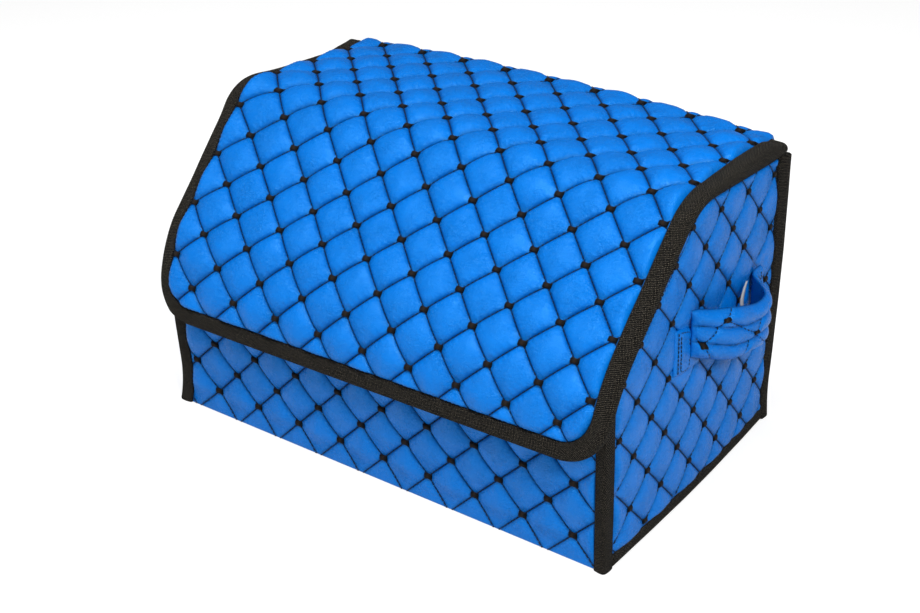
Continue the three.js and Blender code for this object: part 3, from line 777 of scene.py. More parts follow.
def leatherette():
    """Smooth coated cloth: fine pores, crinkles where it is stretched, and painted shade: a deeper blue
    along the stitch lines and in the folds of the straps.
    """
    m = Nodes("leatherette_blue")
    p = m.coords("UV")
    slanted = m.coords("UV", scale=(1.0, 1.9, 1.0), turn=0.5)
    crinkle = m.noise(slanted, 340, 3, 0.6, 1.4)
    grain = m.new("ShaderNodeTexVoronoi", feature="DISTANCE_TO_EDGE")
    grain.inputs["Scale"].default_value = 900
    m.link(p, grain.inputs["Vector"])
    pores = m.ramp(grain.outputs["Distance"], [(0.0, grey(0)), (0.12, grey(0.75)), (0.5, grey(1))])
    worn = m.noise(p, 34, 2, 0.5)
    crinkled = m.math("MULTIPLY", crinkle, m.ramp(worn, [(0.35, grey(0.25)), (0.65, grey(1.0))]))
    normal = m.bump(pores, 0.28, 0.0003, m.bump(crinkled, 0.9, 0.0016))
    patches = m.noise(p, 16, 3, 0.5)
    colour = m.ramp(patches, [(0.2, (0.0, 0.162, 0.63, 1)), (0.8, (0.0, 0.178, 0.69, 1))])
    # Painted shade: the crease attribute darkens the colour to a deeper blue in the grooves along the stitch
    # lines and in the strap's folds
    seam = m.new("ShaderNodeAttribute", attribute_name="crease")
    crease_shade = m.new("ShaderNodeMix", data_type="RGBA", blend_type="MIX")
    m.link(m.math("MULTIPLY", seam.outputs["Fac"], 0.8), crease_shade.inputs["Factor"])
    m.link(colour, crease_shade.inputs["A"])
    crease_shade.inputs["B"].default_value = (0.0, 0.024, 0.13, 1)
    rough = m.ramp(m.noise(p, 90, 4, 0.6), [(0.2, grey(0.23)), (0.8, grey(0.31))])
    m.link(rough, m.bsdf.inputs["Roughness"])
    return m.dress(normal, crease_shade.outputs["Result"], Specular_IOR_Level=0.55,
                   Specular_Tint=(0.25, 0.72, 1.0, 1))


def woven_tape():
    """Binding tape: staggered floats of the weft over a black ground, with a rib at each pick."""
    m = Nodes("woven_tape_black")
    p = m.coords("UV")
    wobble = m.new("ShaderNodeTexNoise")
    m.set(wobble, Scale=260, Detail=2)
    m.link(p, wobble.inputs["Vector"])
    small = m.new("ShaderNodeVectorMath", operation="SCALE")
    small.inputs["Scale"].default_value = 0.0016
    m.link(wobble.outputs["Color"], small.inputs[0])
    moved = m.new("ShaderNodeVectorMath", operation="ADD")
    m.link(p, moved.inputs[0])
    m.link(small.outputs[0], moved.inputs[1])
    split = m.new("ShaderNodeSeparateXYZ")
    m.link(moved.outputs[0], split.inputs[0])
    along, across = split.outputs["X"], split.outputs["Y"]
    weft = m.math("ADD", along, m.math("MULTIPLY", across, 0.6))
    warp = m.math("SUBTRACT", across, m.math("MULTIPLY", along, 0.35))
    picks = m.math("SINE", m.math("MULTIPLY", weft, 2 * math.pi / 0.0021))
    ends = m.math("SINE", m.math("MULTIPLY", warp, 2 * math.pi / 0.0023))
    floats_over = m.math("MULTIPLY", picks, ends)
    fuzz = m.noise(p, 1400, 3, 0.7)
    height = m.math("ADD", m.math("ADD", floats_over, m.math("MULTIPLY", picks, 0.5)), fuzz)
    speckle = m.math("MULTIPLY", m.noise(p, 700, 3, 0.8), 0.9)
    tone = m.math("ADD", m.math("MULTIPLY", floats_over, 0.5), speckle)
    black, dark, fibre = (0.0008, 0.0008, 0.0008), (0.0045, 0.0040, 0.0036), (0.200, 0.175, 0.135)
    colour = m.ramp(tone, [(0.42, black), (0.72, dark), (0.92, fibre)])
    return m.dress(m.bump(height, 0.8, 0.0008), colour, Roughness=0.85, Sheen_Weight=0.02,
                   Specular_IOR_Level=0.08)


def thread(name, dark, light):
    m = Nodes(name)
    p = m.coords("UV")
    twist = m.new("ShaderNodeTexWave", wave_type="BANDS", bands_direction="DIAGONAL")
    m.set(twist, Scale=1500, Distortion=1.5, Detail=1)
    m.link(p, twist.inputs["Vector"])
    colour = m.ramp(m.noise(p, 700, 3, 0.7), [(0.3, dark), (0.75, light)])
    return m.dress(m.bump(twist.outputs["Fac"], 0.6, 0.0002), colour, Roughness=0.55, Sheen_Weight=0.03,
                   Specular_IOR_Level=0.2)


def knot_thread():
    """Sewn bar: threads lie side by side, darker towards both ends."""
    m = Nodes("knot_thread")
    p = m.coords("UV")
    split = m.new("ShaderNodeSeparateXYZ")
    m.link(p, split.inputs[0])
    lie = m.math("SINE", m.math("MULTIPLY", split.outputs["X"], 2 * math.pi / 0.0009))
    normal = m.bump(m.math("ADD", lie, m.noise(p, 1300, 2, 0.6)), 0.6, 0.0003)
    ends = m.math("MULTIPLY", m.math("ABSOLUTE", split.outputs["X"]), 1 / 0.0046)
    tone = m.math("ADD", ends, m.math("MULTIPLY", m.noise(p, 900, 3, 0.7), 0.5))
    brown, dark, black = (0.016, 0.009, 0.006), (0.004, 0.0028, 0.0022), (0.001, 0.0009, 0.0008)
    colour = m.ramp(tone, [(0.35, brown), (0.72, dark), (1.0, black)])
    return m.dress(normal, colour, Roughness=0.7, Sheen_Weight=0.03, Specular_IOR_Level=0.15)


def lining_cloth():
    m = Nodes("lining_cloth_grey")
    p = m.coords("UV")
    pits = m.ramp(m.dots(p, 520, Randomness=0.15), [(0.05, grey(0)), (0.4, grey(1))])
    fibre = m.noise(p, 900, 4, 0.75, 0.8)
    normal = m.bump(fibre, 0.35, 0.0003, m.bump(pits, 0.35, 0.0003))
    patches = m.math("MULTIPLY", m.noise(p, 30, 3, 0.5), 0.4)
    tone = m.math("ADD", m.math("MULTIPLY", fibre, 0.6), patches)
    colour = m.ramp(tone, [(0.3, (0.019, 0.020, 0.023)), (0.7, (0.040, 0.042, 0.047))])
    return m.dress(normal, colour, Roughness=0.88, Sheen_Weight=0.2)


def board_material():
    m = Nodes("fibreboard_raw")
    fibre = m.noise(m.coords("Object"), 420, 5, 0.7, 1.2)
    colour = m.ramp(fibre, [(0.3, (0.19, 0.13, 0.08)), (0.7, (0.31, 0.235, 0.155))])
    return m.dress(m.bump(fibre, 0.3, 0.0003), colour, Roughness=0.85)


def pile_material(name, hooks):
    m = Nodes(name)
    dots = m.dots(m.coords("Object"), 620 if hooks else 900, Randomness=0.2 if hooks else 1.0)
    colour = m.ramp(dots, [(0.1, (0.016, 0.016, 0.017)), (0.6, (0.004, 0.004, 0.0045))])
    return m.dress(m.bump(dots, 0.9, 0.001), colour, Roughness=0.6 if hooks else 0.95,
                   Sheen_Weight=0.1 if hooks else 0.4)


def felt_material():
    m = Nodes("backing_felt")
    fibre = m.noise(m.coords("UV"), 700, 5, 0.75, 1.0)
    colour = m.ramp(fibre, [(0.3, (0.36, 0.36, 0.37)), (0.7, (0.56, 0.56, 0.57))])
    return m.dress(m.bump(fibre, 0.5, 0.0005), colour, Roughness=0.95)


BLUE = leatherette()
BLACK = woven_tape()
NAVY = thread("stitch_thread", (0.003, 0.004, 0.012), (0.008, 0.012, 0.040))
BROWN = knot_thread()
CLOTH = lining_cloth()
FIBRE = board_material()
FELT = felt_material()
HOOKS = pile_material("hook_strip", True)
LOOPS = pile_material("loop_strip", False)


def rect(u0, v0, u1, v1):
    return [(u0, v0), (u1, v0), (u1, v1), (u0, v1)]


def front_edge(u, s):
    """The lid's front edge hangs a little lower at the left."""
    hang, slope = 11.0, 0.0155
    return s + (hang - slope * u) * rise(s, LID_END - 120, 115)


def lid_outline(inset, start, end=None):
    half, stop = LID_HALF - inset, LID_END - inset
    if end is not None:
        return rect(-half, start, half, end)
    r = LID_CORNER_RADIUS - inset
    turns = np.linspace(0, math.pi / 2, 9)
    arc = [(half - r + r * math.cos(a), stop - r + r * math.sin(a)) for a in turns]
    outline = [(-half, start), (half, start)] + arc + [(-x, y) for x, y in arc[::-1]]
    return hull_of([(x, float(front_edge(x, y))) for x, y in outline])


# Quilted covers
INNER = LID_TAPE_WIDTH + GAP
# Stuffing heights of the pads on the lid, the front and the sides
TOP_HEIGHT, FRONT_HEIGHT, SIDE_HEIGHT = 7.6, 6.2, 4.8
SIDE_TURN = -math.radians(4.0)


def calm_fold(u, s):
    """The pads are lower where the cloth turns over the fold."""
    return 1 - 0.5 * bump_at(s, -2, 26)


top_lattice = Lattice(0.0, SPLIT, height=TOP_HEIGHT, seed=1, calm=calm_fold)
lid_flat = lid_outline(INNER, S_JOIN)
lid = quilt("quilt_lid", lid_flat, top_lattice, on_top, open_edges=(0,))
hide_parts("cover_lid_top", "cover_lid_flap")

half_join, half_strip = LID_HALF - INNER, FACE_HALF
strip_flat = [(-half_strip, S_STRIP), (half_strip, S_STRIP), (half_join, S_JOIN), (-half_join, S_JOIN)]
strip = quilt("quilt_fold", strip_flat, top_lattice, on_top, open_edges=(0, 2))

back_flat = rect(-FACE_HALF, S_FOOT, FACE_HALF, S_STRIP)
back = quilt("quilt_back", back_flat, top_lattice, on_top, open_edges=(2,))
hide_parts("cover_back")

front_top = FRONT_RIM_TOP - FRONT_RIM_HEIGHT - GAP
front_lattice = Lattice(33.0, 51.9, 52.8, 54.1, height=FRONT_HEIGHT, seed=2)
front_flat = rect(-FACE_HALF, SKIRT_LIFT, FACE_HALF, front_top)


def flatten_foot(u, v, h):
    """The front pads are pressed flat near the ground."""
    return h * (0.15 + 0.85 * smooth((v - SKIRT_LIFT) / 30))


front = quilt("quilt_front", front_flat, front_lattice, on_front, press=flatten_foot)
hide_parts("cover_front")

RIM_LEVEL = EDGE_UNDER - GAP - RIM_TAPE_WIDTH - GAP
# Ends of a side wall's face along the depth, between the corner tapes
SIDE_FRONT, SIDE_REAR = -HALF_D + CORNER_TAPE_WIDTH + GAP, HALF_D - CORNER_TAPE_WIDTH - GAP


def side_outline(y0, y1, foot):
    """Side wall from the foot up to the rim tape, between two places along the depth."""
    y, z = offset_section(np.linspace(0, LID_END, 120), RIM_LEVEL)
    mid = [(a, b) for a, b in zip(y, z) if y0 + 1.5 < a < y1 - 1.5]
    order = np.argsort(y)
    high = [float(np.interp(end, y[order], z[order])) for end in (y0, y1)]
    return hull_of([(y0, foot), (y1, foot), (y1, high[1]), (y0, high[0])] + mid)


side_flat = side_outline(SIDE_FRONT, SIDE_REAR, WALL_FOOT)
HANDLE_TABS = ((HANDLE_FRONT_END, HANDLE_FRONT_END + HANDLE_TAB),
               (HANDLE_REAR_END - HANDLE_TAB, HANDLE_REAR_END))


def press_tabs(u, v, h):
    """The handle's sewn ends flatten the pads under them."""
    border, reach, step, pressed = 7, 31, 8, 2.2
    out = h
    for y0, y1 in HANDLE_TABS:
        w = rise(u, y0 - border, step) * rise(y1 + border - u, 0, step)
        w = w * rise(v, HANDLE_Z - reach, step) * rise(HANDLE_Z + reach - v, 0, step)
        out = out * (1 - w) + np.minimum(out, pressed) * w
    return out


sides = {}
for tag, sgn in (("left", -1), ("right", 1)):
    lat = Lattice(-58.1, 94.0, 51.3, 53.7, turn=SIDE_TURN, height=SIDE_HEIGHT, seed=3 + sgn)
    obj = quilt(f"quilt_{tag}", side_flat, lat, on_side(sgn), press=press_tabs)
    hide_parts(f"cover_{tag}")
    sides[tag] = (obj, lat, sgn)

# Two points on the middle of the cover, 8 mm before the middle of the crease and 36 mm after it; nothing
# below uses them
join = on_top(0, np.array([SPLIT - 8, SPLIT + 36]), 4.0)

# Stitches and knots
FAR = 999.0


def split_runs(runs, lo, hi):
    mid = (runs[:, 1] + runs[:, 3]) / 2
    return runs[(mid >= lo) & (mid < hi)]


def split_spots(spots, lo, hi):
    keep = (spots[1] >= lo) & (spots[1] < hi)
    return spots[0][keep], spots[1][keep]


whole_top = hull_of(lid_outline(INNER, S_FOOT))
top_runs = stitch_runs(whole_top, top_lattice)
top_runs = top_runs[np.abs(top_runs[:, 0]) < np.where(top_runs[:, 1] < S_JOIN, FACE_HALF - 2, FAR)]
top_knots = knot_spots(whole_top, top_lattice)
keep = np.abs(top_knots[0]) < np.where(top_knots[1] < S_JOIN, FACE_HALF - 5, FAR)
top_knots = (top_knots[0][keep], top_knots[1][keep])

threads = {}
for tag, lo, hi in (("lid", S_JOIN, FAR), ("fold", S_STRIP, S_JOIN), ("back", -FAR, S_STRIP)):
    runs, spots = split_runs(top_runs, lo, hi), split_spots(top_knots, lo, hi)
    threads[tag] = [stitches(f"stitch_{tag}", runs, on_top, NAVY)]
    if len(spots[0]):
        threads[tag].append(knots(f"knots_{tag}", spots, on_top, BROWN))
threads["front"] = [
    stitches("stitch_front", stitch_runs(front_flat, front_lattice), on_front, NAVY),
    knots("knots_front", knot_spots(front_flat, front_lattice), on_front, BROWN)]


def clear_of_tabs(u, v):
    """False where the sewn ends of a handle cover the wall."""
    border, half_height = 3, 28
    out = np.ones(np.shape(u), bool)
    for y0, y1 in HANDLE_TABS:
        out &= ~((u > y0 - border) & (u < y1 + border) & (np.abs(v - HANDLE_Z) < half_height))
    return out


for tag, (obj, lat, sgn) in sides.items():
    place = on_side(sgn)
    runs = stitch_runs(side_flat, lat)
    runs = runs[clear_of_tabs(runs[:, 0], runs[:, 1]) & clear_of_tabs(runs[:, 2], runs[:, 3])]
    spots = knot_spots(side_flat, lat)
    ok = clear_of_tabs(*spots)
    threads[tag] = [
        stitches(f"stitch_{tag}", runs, place, NAVY),
        knots(f"knots_{tag}", (spots[0][ok], spots[1][ok]), place, BROWN, turn=SIDE_TURN,
              size=(7.8, 5.6, 2.6))]


# Lid edge tape
def lid_edge_path():
    """Points of the lid's edge with the inward direction, from rear left round to rear right."""
    r, inner = LID_CORNER_RADIUS, LID_HALF - LID_CORNER_RADIUS
    left = [(-LID_HALF, s, 1, 0) for s in np.linspace(LID_START, LID_END - r, 110)]
    for a in np.linspace(0, math.pi / 2, 20)[1:]:
        c, s = math.cos(a), math.sin(a)
        left.append((-inner - r * c, LID_END - r + r * s, c, -s))
    front = [(u, LID_END, 0, -1) for u in np.linspace(-inner, inner, 120)[1:-1]]
    right = (np.array(left) * [-1, 1, -1, 1])[::-1]
    edge = np.vstack([left, front, right])
    edge[:, 1] = front_edge(edge[:, 0], edge[:, 1])
    return edge[:, :2], edge[:, 2:]


EDGE_SECTION = np.array([
    (LID_TAPE_WIDTH, 0.9), (LID_TAPE_WIDTH - 1.0, 1.75), (LID_TAPE_WIDTH - 3.0, 1.95),
    (12, 1.75), (9, 1.9), (6, 2.1), (3.2, 1.9), (1.4, 1.2), (0.2, 0.0), (-0.5, -1.6), (-0.7, -3.2),
    (-0.5, -4.8), (0.2, -5.9), (1.6, -6.8), (4, -7.3), (8, -7.5), (12, -7.4),
    (LID_TAPE_WIDTH - 1.2, -7.2), (LID_TAPE_WIDTH, -6.7)])
path, inward = lid_edge_path()
run = np.concatenate([[0], np.cumsum(np.linalg.norm(np.diff(path, axis=0), axis=1))])
loops = []
for k, (p, n) in enumerate(zip(path, inward)):
    w = 1 + 0.02 * wave(run[k], 1.0)
    sec = EDGE_SECTION * [w, 1.0]
    h = sec[:, 1] + np.where(sec[:, 1] > 0, 0.22 * wave(run[k] * 1.7, 2.0), 0)
    loops.append(on_top(p[0] + n[0] * sec[:, 0], p[1] + n[1] * sec[:, 0], h))
lid_tape = sweep("tape_lid_edge", loops, BLACK, run)
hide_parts("binding_lid_top_left", "binding_lid_top_right", "binding_lid_flap")


# Corner and foot tapes
CORNER_SECTION = np.array([
    (-CORNER_TAPE_WIDTH, 0.6), (-CORNER_TAPE_WIDTH + 1.0, 1.5), (-8, 1.6), (-5, 1.9), (-2.4, 1.8),
    (-0.3, 1.2), (1.2, -0.3), (1.8, -2.4), (1.9, -5), (1.6, -8), (1.5, -CORNER_TAPE_WIDTH + 1.0),
    (0.6, -CORNER_TAPE_WIDTH), (-2.0, -CORNER_TAPE_WIDTH), (-2.1, -2.1), (-CORNER_TAPE_WIDTH, -2.0)])
# Length along which the front corners' tape is uneven, from the foot to the lid
FRONT_CORNER_RUN = 170.0


def stand_out(a, b, out):
    """How far a point of the section is pushed along a. The tape's free edge stays near the wall."""
    return out * smooth((a + 2.6) / 3.4) * (0.35 + 0.65 * np.clip(1 + b / CORNER_TAPE_WIDTH, 0, 1))


ss = np.linspace(0, LID_END, 400)
low_y, low_z = offset_section(ss, EDGE_UNDER - GAP)
order = np.argsort(low_y)


def front_corner(sgn):
    """From the foot up to the lid, which hides the upper end."""
    def place(a, b, w):
        high = float(np.interp(-HALF_D - b, low_y[order], low_z[order])) - 0.6
        wide = stand_out(a, b, 4.0) if sgn < 0 else 0.0
        return (sgn * (HALF_W + a + wide), -HALF_D - b - stand_out(b, a, 1.5),
                SKIRT_LIFT + (high - SKIRT_LIFT) * w / FRONT_CORNER_RUN)
    return place


def rear_corner(sgn):
    """The rear corners open out towards the fold."""
    def place(a, b, w):
        up = w / FOLD_Z
        aside, back = stand_out(a, b, 2.0 + 6.0 * up), stand_out(b, a, 0.5 + 2.5 * up)
        return sgn * (HALF_W + a + aside), HALF_D + b + back, w
    return place


def foot_height(b):
    return max(TAPE + 0.3 + SOLE_LIFT - b, 0.15)


box_tapes = []


def corner(name, node, stations, place, seed):
    loops = []
    for w in stations:
        sec = CORNER_SECTION + np.where(CORNER_SECTION > 0.9, 0.18 * wave(w, seed), 0)
        loops.append(soften(np.array([place(a, b, w) for a, b in sec])))
    obj = sweep(f"tape_{name}", loops, BLACK, stations - stations[0])
    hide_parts(f"binding_{node}")
    box_tapes.append(obj)


for tag, sgn in (("left", -1), ("right", 1)):
    corner(f"corner_front_{tag}", f"corner_front_{tag}", np.linspace(0, FRONT_CORNER_RUN, 60),
           front_corner(sgn), 3.0 + sgn)
    corner(f"corner_rear_{tag}", f"corner_rear_{tag}",
           np.linspace(SKIRT_LIFT, FOLD_Z - FOLD_RADIUS - GAP, 90), rear_corner(sgn), 5.0 + sgn)
    corner(f"foot_{tag}", f"bottom_{tag}", np.linspace(SIDE_FRONT, SIDE_REAR, 90),
           lambda a, b, w: (sgn * (HALF_W + a), w, foot_height(b)), 7.0 + sgn)
corner("foot_rear", "bottom_rear", np.linspace(-FACE_HALF, FACE_HALF, 140),
       lambda a, b, w: (w, HALF_D + a, foot_height(b)), 9.0)

# Rims of the side walls and of the front wall
SIDE_RIM_SECTION = [
    (1.5, -RIM_TAPE_WIDTH), (1.7, -3), (1.5, -1.2), (0.6, -0.3), (-1.0, 0.0), (-4.6, 0.0), (-6.4, -0.3),
    (-7.4, -1.2), (-7.6, -3), (-7.4, -RIM_TAPE_WIDTH - 5)]
FRONT_RIM_SECTION = [
    (1.4, -FRONT_RIM_HEIGHT), (1.5, -16), (1.55, -8), (1.45, -2.2), (0.7, -0.7), (-1.0, 0.0), (-4.6, 0.0),
    (-6.3, -0.7), (-7.3, -2.2), (-7.5, -8), (-7.4, -16), (-7.3, -FRONT_RIM_HEIGHT)]
# The rims run on under the corner tapes, and dip a little below the crease
RIM_PAST_FRONT, RIM_PAST_REAR, RIM_DIP = 7, 4, 1.8
for tag, sgn in (("left", -1), ("right", 1)):
    loops = []
    for s in ss[(low_y > SIDE_FRONT - RIM_PAST_FRONT) & (low_y < SIDE_REAR + RIM_PAST_REAR)]:
        low = EDGE_UNDER - GAP - RIM_DIP * bump_at(s, SPLIT, 26)
        ring = [(sgn * (HALF_W + a), *offset_section(s, low + b)) for a, b in SIDE_RIM_SECTION]
        loops.append(soften(np.array(ring)))
    obj = sweep(f"tape_rim_{tag}", loops, BLACK)
    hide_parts(f"binding_rim_{tag}")
    box_tapes.append(obj)
loops = [soften(np.array([(x, -HALF_D - a, FRONT_RIM_TOP + b) for a, b in FRONT_RIM_SECTION]))
         for x in np.linspace(-FACE_HALF, FACE_HALF, 120)]
obj = sweep("tape_rim_front", loops, BLACK)
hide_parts("binding_rim_front")
box_tapes.append(obj)

# Handles
# Stations of the strap: place along the depth, gap behind it, middle height, half height
STRAP = np.array([
    (-25, 5.0, 180, 23.5), (-18, 7.5, 178, 25.0), (-8, 12.0, 174, 26.0), (4, 17.5, 170, 26.5),
    (20, 23.2, 165, 26.5), (36, 26.0, 161, 26.5), (52, 27.6, 158, 26.0), (64, 27.6, 156, 26.0),
    (73, 26.0, 155, 26.0), (79, 21.5, 156, 26.0), (83, 15.0, 158, 26.0), (86, 9.0, 161, 24.5),
    (89, 5.4, 165, 23.0), (94, 4.2, 168, 21.0), (100, 4.0, 169, 19.5), (107, 4.0, 169, 19.0)])
# Places across the strap run from -0.5 to 0.5 of this width
STRAP_WIDTH, STRAP_FOLDS = 52.0, 3
STRAP_START, STRAP_BEND, STRAP_SEWN = -25, 66, 98
# Sewn front end: start, two seams across it, level of its threads over the wall
TAB_START, TAB_SEAMS, TAB_THREADS = HANDLE_FRONT_END - 1, (3.5, 8.0), 4.6
# Gap between the wall and the middle of the felt behind the strap
BACKING_GAP = 9.5
KNOT_TOP, KNOT_FRONT, KNOT_REAR = (6.0, 0.31), (-15.0, -0.20), (47.0, -0.06)
STRAP_LINES = [
    (KNOT_FRONT, KNOT_TOP), (KNOT_TOP, KNOT_REAR), (KNOT_REAR, (68, 0.34)), (KNOT_REAR, (28, -0.48)),
    (KNOT_REAR, (70, -0.44)), (KNOT_FRONT, (-4, -0.49)), (KNOT_TOP, (14, 0.49)), (KNOT_FRONT, (-25, -0.02))]


def strap_station(y):
    """Gap, middle height and half height, with the direction of the strap as seen from above."""
    before, here, after = (
        [np.interp(y + d, STRAP[:, 0], STRAP[:, c]) for c in (1, 2, 3)] for d in (-2, 0, 2))
    gap, mid, half = ((p + 2 * q + r) / 4 for p, q, r in zip(before, here, after))
    slope = (after[0] - before[0]) / 4
    return gap, mid, half, slope / np.hypot(1, slope), 1 / np.hypot(1, slope)


def strap_fold(y, w):
    """0 in the valleys between the lengthwise folds of the strap, 1 on their crests."""
    crease = 0.03 * np.sin(y / 17.0)
    return np.abs(np.sin(math.pi * STRAP_FOLDS * (w + 0.5 + crease * (1 - 4 * w * w))))


def strap_puff(y, w):
    """Thickness of the folded strap, drawn in along the quilting lines."""
    fold = strap_fold(y, w) ** 0.4
    free = rise(y, -34, 20) * rise(100 - y, 0, 16)
    thick = 1.8 + (2.2 + 3.8 * free) * fold + 0.4 * np.sin(y / 5.0 + 9 * w) * fold
    pull = np.zeros(np.broadcast(y, w).shape)
    for (ya, wa), (yb, wb) in STRAP_LINES:
        dy, dw = yb - ya, (wb - wa) * STRAP_WIDTH
        across = (w - wa) * STRAP_WIDTH
        t = np.clip(((y - ya) * dy + across * dw) / (dy * dy + dw * dw), 0, 1)
        d = np.hypot(y - ya - t * dy, across - t * dw)
        pull = np.maximum(pull, bump_at(d, 0, 2.0))
    return (thick - 2.2 * pull * free) * (1 - np.abs(2 * w) ** 8) + 0.4


def on_strap(sgn):
    def place(y, w, h, back=False):
        y, w, h = floats(y, w, h)
        gap, mid, half, sl, cs = strap_station(y)
        free = rise(y, -22, 30) * rise(92 - y, 0, 16)
        tilt, sway = 3.0, 2.2
        gap = gap + w * tilt * free
        lift = (0 if back else strap_puff(y, w)) + h
        x = HALF_W + gap + lift * cs
        z = mid + w * 2 * half + sway * free * np.sin(y / 11.0) * w
        return soften(np.stack([sgn * x, y - lift * sl, z], -1))
    return place


def strap(tag, sgn):
    """The free sleeve of a handle with its rear end sewn down."""
    place = on_strap(sgn)
    ys = np.concatenate([np.linspace(STRAP_START, STRAP_BEND, 70, endpoint=False),
                         np.linspace(STRAP_BEND, STRAP_SEWN, 44, endpoint=False),
                         np.linspace(STRAP_SEWN, STRAP[-1, 0], 12)])
    w = np.linspace(-0.5, 0.5, 49)
    y, across = np.meshgrid(ys, w, indexing="ij")
    end = np.minimum(1, np.sqrt(np.clip((y - STRAP_START + 0.5) / 5.0, 0.01, 1)))
    outer = place(y, across, strap_puff(y, across) * (end - 1))
    inner = place(y, across, -0.4 * (1 - np.abs(2 * across) ** 8), back=True)
    uv = np.stack([y.ravel(), across.ravel() * STRAP_WIDTH], 1)
    # Painted shade in the valleys of the strap's folds, and half of it over the whole back of the strap that
    # faces the wall
    crease = np.concatenate([np.exp(-strap_fold(y, across).ravel() / 0.14), np.full(y.size, 0.5)])
    obj = add_object(f"handle_strap_{tag}", np.vstack([outer.reshape(-1, 3), inner.reshape(-1, 3)]),
                     slab_faces(len(ys), len(w), sgn < 0), BLUE, np.vstack([uv, uv]), crease=crease)
    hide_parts(f"handle_{tag}")
    return obj, place


def tab(tag, sgn):
    """Flat sewn front end of a handle."""
    y0, y1 = TAB_START, HANDLE_FRONT_END + HANDLE_TAB + 14
    height, fall, half_height, narrowing = 169, 0.22, 22.5, 2.0
    base, puff, seam_depth, unevenness = 2.5, 2.6, 1.2, 0.4
    nu, nv = 26, 30
    gy, gw = np.meshgrid(np.linspace(0, 1, nu), np.linspace(-1, 1, nv), indexing="ij")
    rim = (1 - np.abs(gw) ** 10) * (1 - (1 - np.clip(gy * 8, 0, 1)) ** 2)
    y = y0 + (y1 - y0) * gy
    z = height - fall * (y - y0) + gw * (half_height - narrowing * gy) + np.sin(gy * 5) * gw
    seam = sum(bump_at(y, y0 + place, 1.2) for place in TAB_SEAMS)
    x = HALF_W + base + (puff - seam_depth * seam + unevenness * np.sin(gw * 7 + 2)) * rim
    back = np.full_like(x, HALF_W + 0.6)
    layers = [soften(np.stack([sgn * q, y, z], -1)).reshape(-1, 3) for q in (x, back)]
    uv = np.stack([y.ravel(), z.ravel()], 1)
    obj = add_object(f"handle_tab_{tag}", np.vstack(layers), slab_faces(nu, nv, sgn < 0), BLUE,
                     np.vstack([uv, uv]))

    def place(u, v, h):
        u, v, h = floats(u, v, h)
        return soften(np.stack([sgn * (HALF_W + TAB_THREADS + h), u, v], -1))
    return obj, place


def dashes(points, pitch=4.2, length=3.4):
    """Stitch runs along a polyline."""
    pts = np.asarray(points, float)
    run = np.concatenate([[0], np.cumsum(np.hypot(*np.diff(pts, axis=0).T))])
    t = np.arange(0.5, run[-1] - length, pitch)
    at = lambda q: np.stack([np.interp(q, run, pts[:, 0]), np.interp(q, run, pts[:, 1])], 1)
    return np.hstack([at(t), at(t + length)])


def backing(tag, sgn):
    """Edge of the felt backing that shows behind the strap's rear end."""
    loops = []
    for q in np.linspace(0, 1, 16):
        y, z = STRAP_BEND + 5 * q - 5 * math.sin(math.pi * q), 160 + 30 * q
        half = 0.4 + 2.6 * math.sin(math.pi * min(max(q, 0.04), 0.96)) ** 0.7
        ring = ((0.6, -half), (0.9, 0), (0.6, half), (-0.6, half), (-0.8, 0), (-0.6, -half))
        loops.append(soften(np.array([(sgn * (HALF_W + BACKING_GAP + a), y + b, z) for a, b in ring])))
    return sweep(f"handle_backing_{tag}", loops, FELT)


handles = {}
for tag, sgn in (("left", -1), ("right", 1)):
    strap_piece, place = strap(tag, sgn)
    tab_piece, tab_place = tab(tag, sgn)
    scaled = lambda u, v, h, place=place: place(u, np.asarray(v) / STRAP_WIDTH, h)
    runs = [dashes([(a[0], a[1] * STRAP_WIDTH), (b[0], b[1] * STRAP_WIDTH)]) for a, b in STRAP_LINES]
    runs += [dashes([(103, -22), (103, 22)]), dashes([(94, -22), (94, 22)])]
    ky, kw = np.array([KNOT_TOP, KNOT_FRONT, KNOT_REAR]).T
    seam, inner = (TAB_START + place for place in TAB_SEAMS)
    box_line = [(inner, 188), (inner + 14, 183), (inner + 15, 150), (inner + 12, 146), (inner + 0.5, 148),
                (inner, 188)]
    tab_runs = np.vstack([dashes([(seam, 190), (seam, 148)]), dashes(box_line)])
    handles[tag] = [
        strap_piece, tab_piece, backing(tag, sgn),
        stitches(f"stitch_strap_{tag}", np.vstack(runs), scaled, NAVY, lift=0.15),
        knots(f"knots_strap_{tag}", (ky, kw * STRAP_WIDTH), scaled, BROWN, lift=-1.0, size=(9.6, 6.6, 2.6)),
        stitches(f"stitch_tab_{tag}", tab_runs, tab_place, NAVY, lift=0.1)]

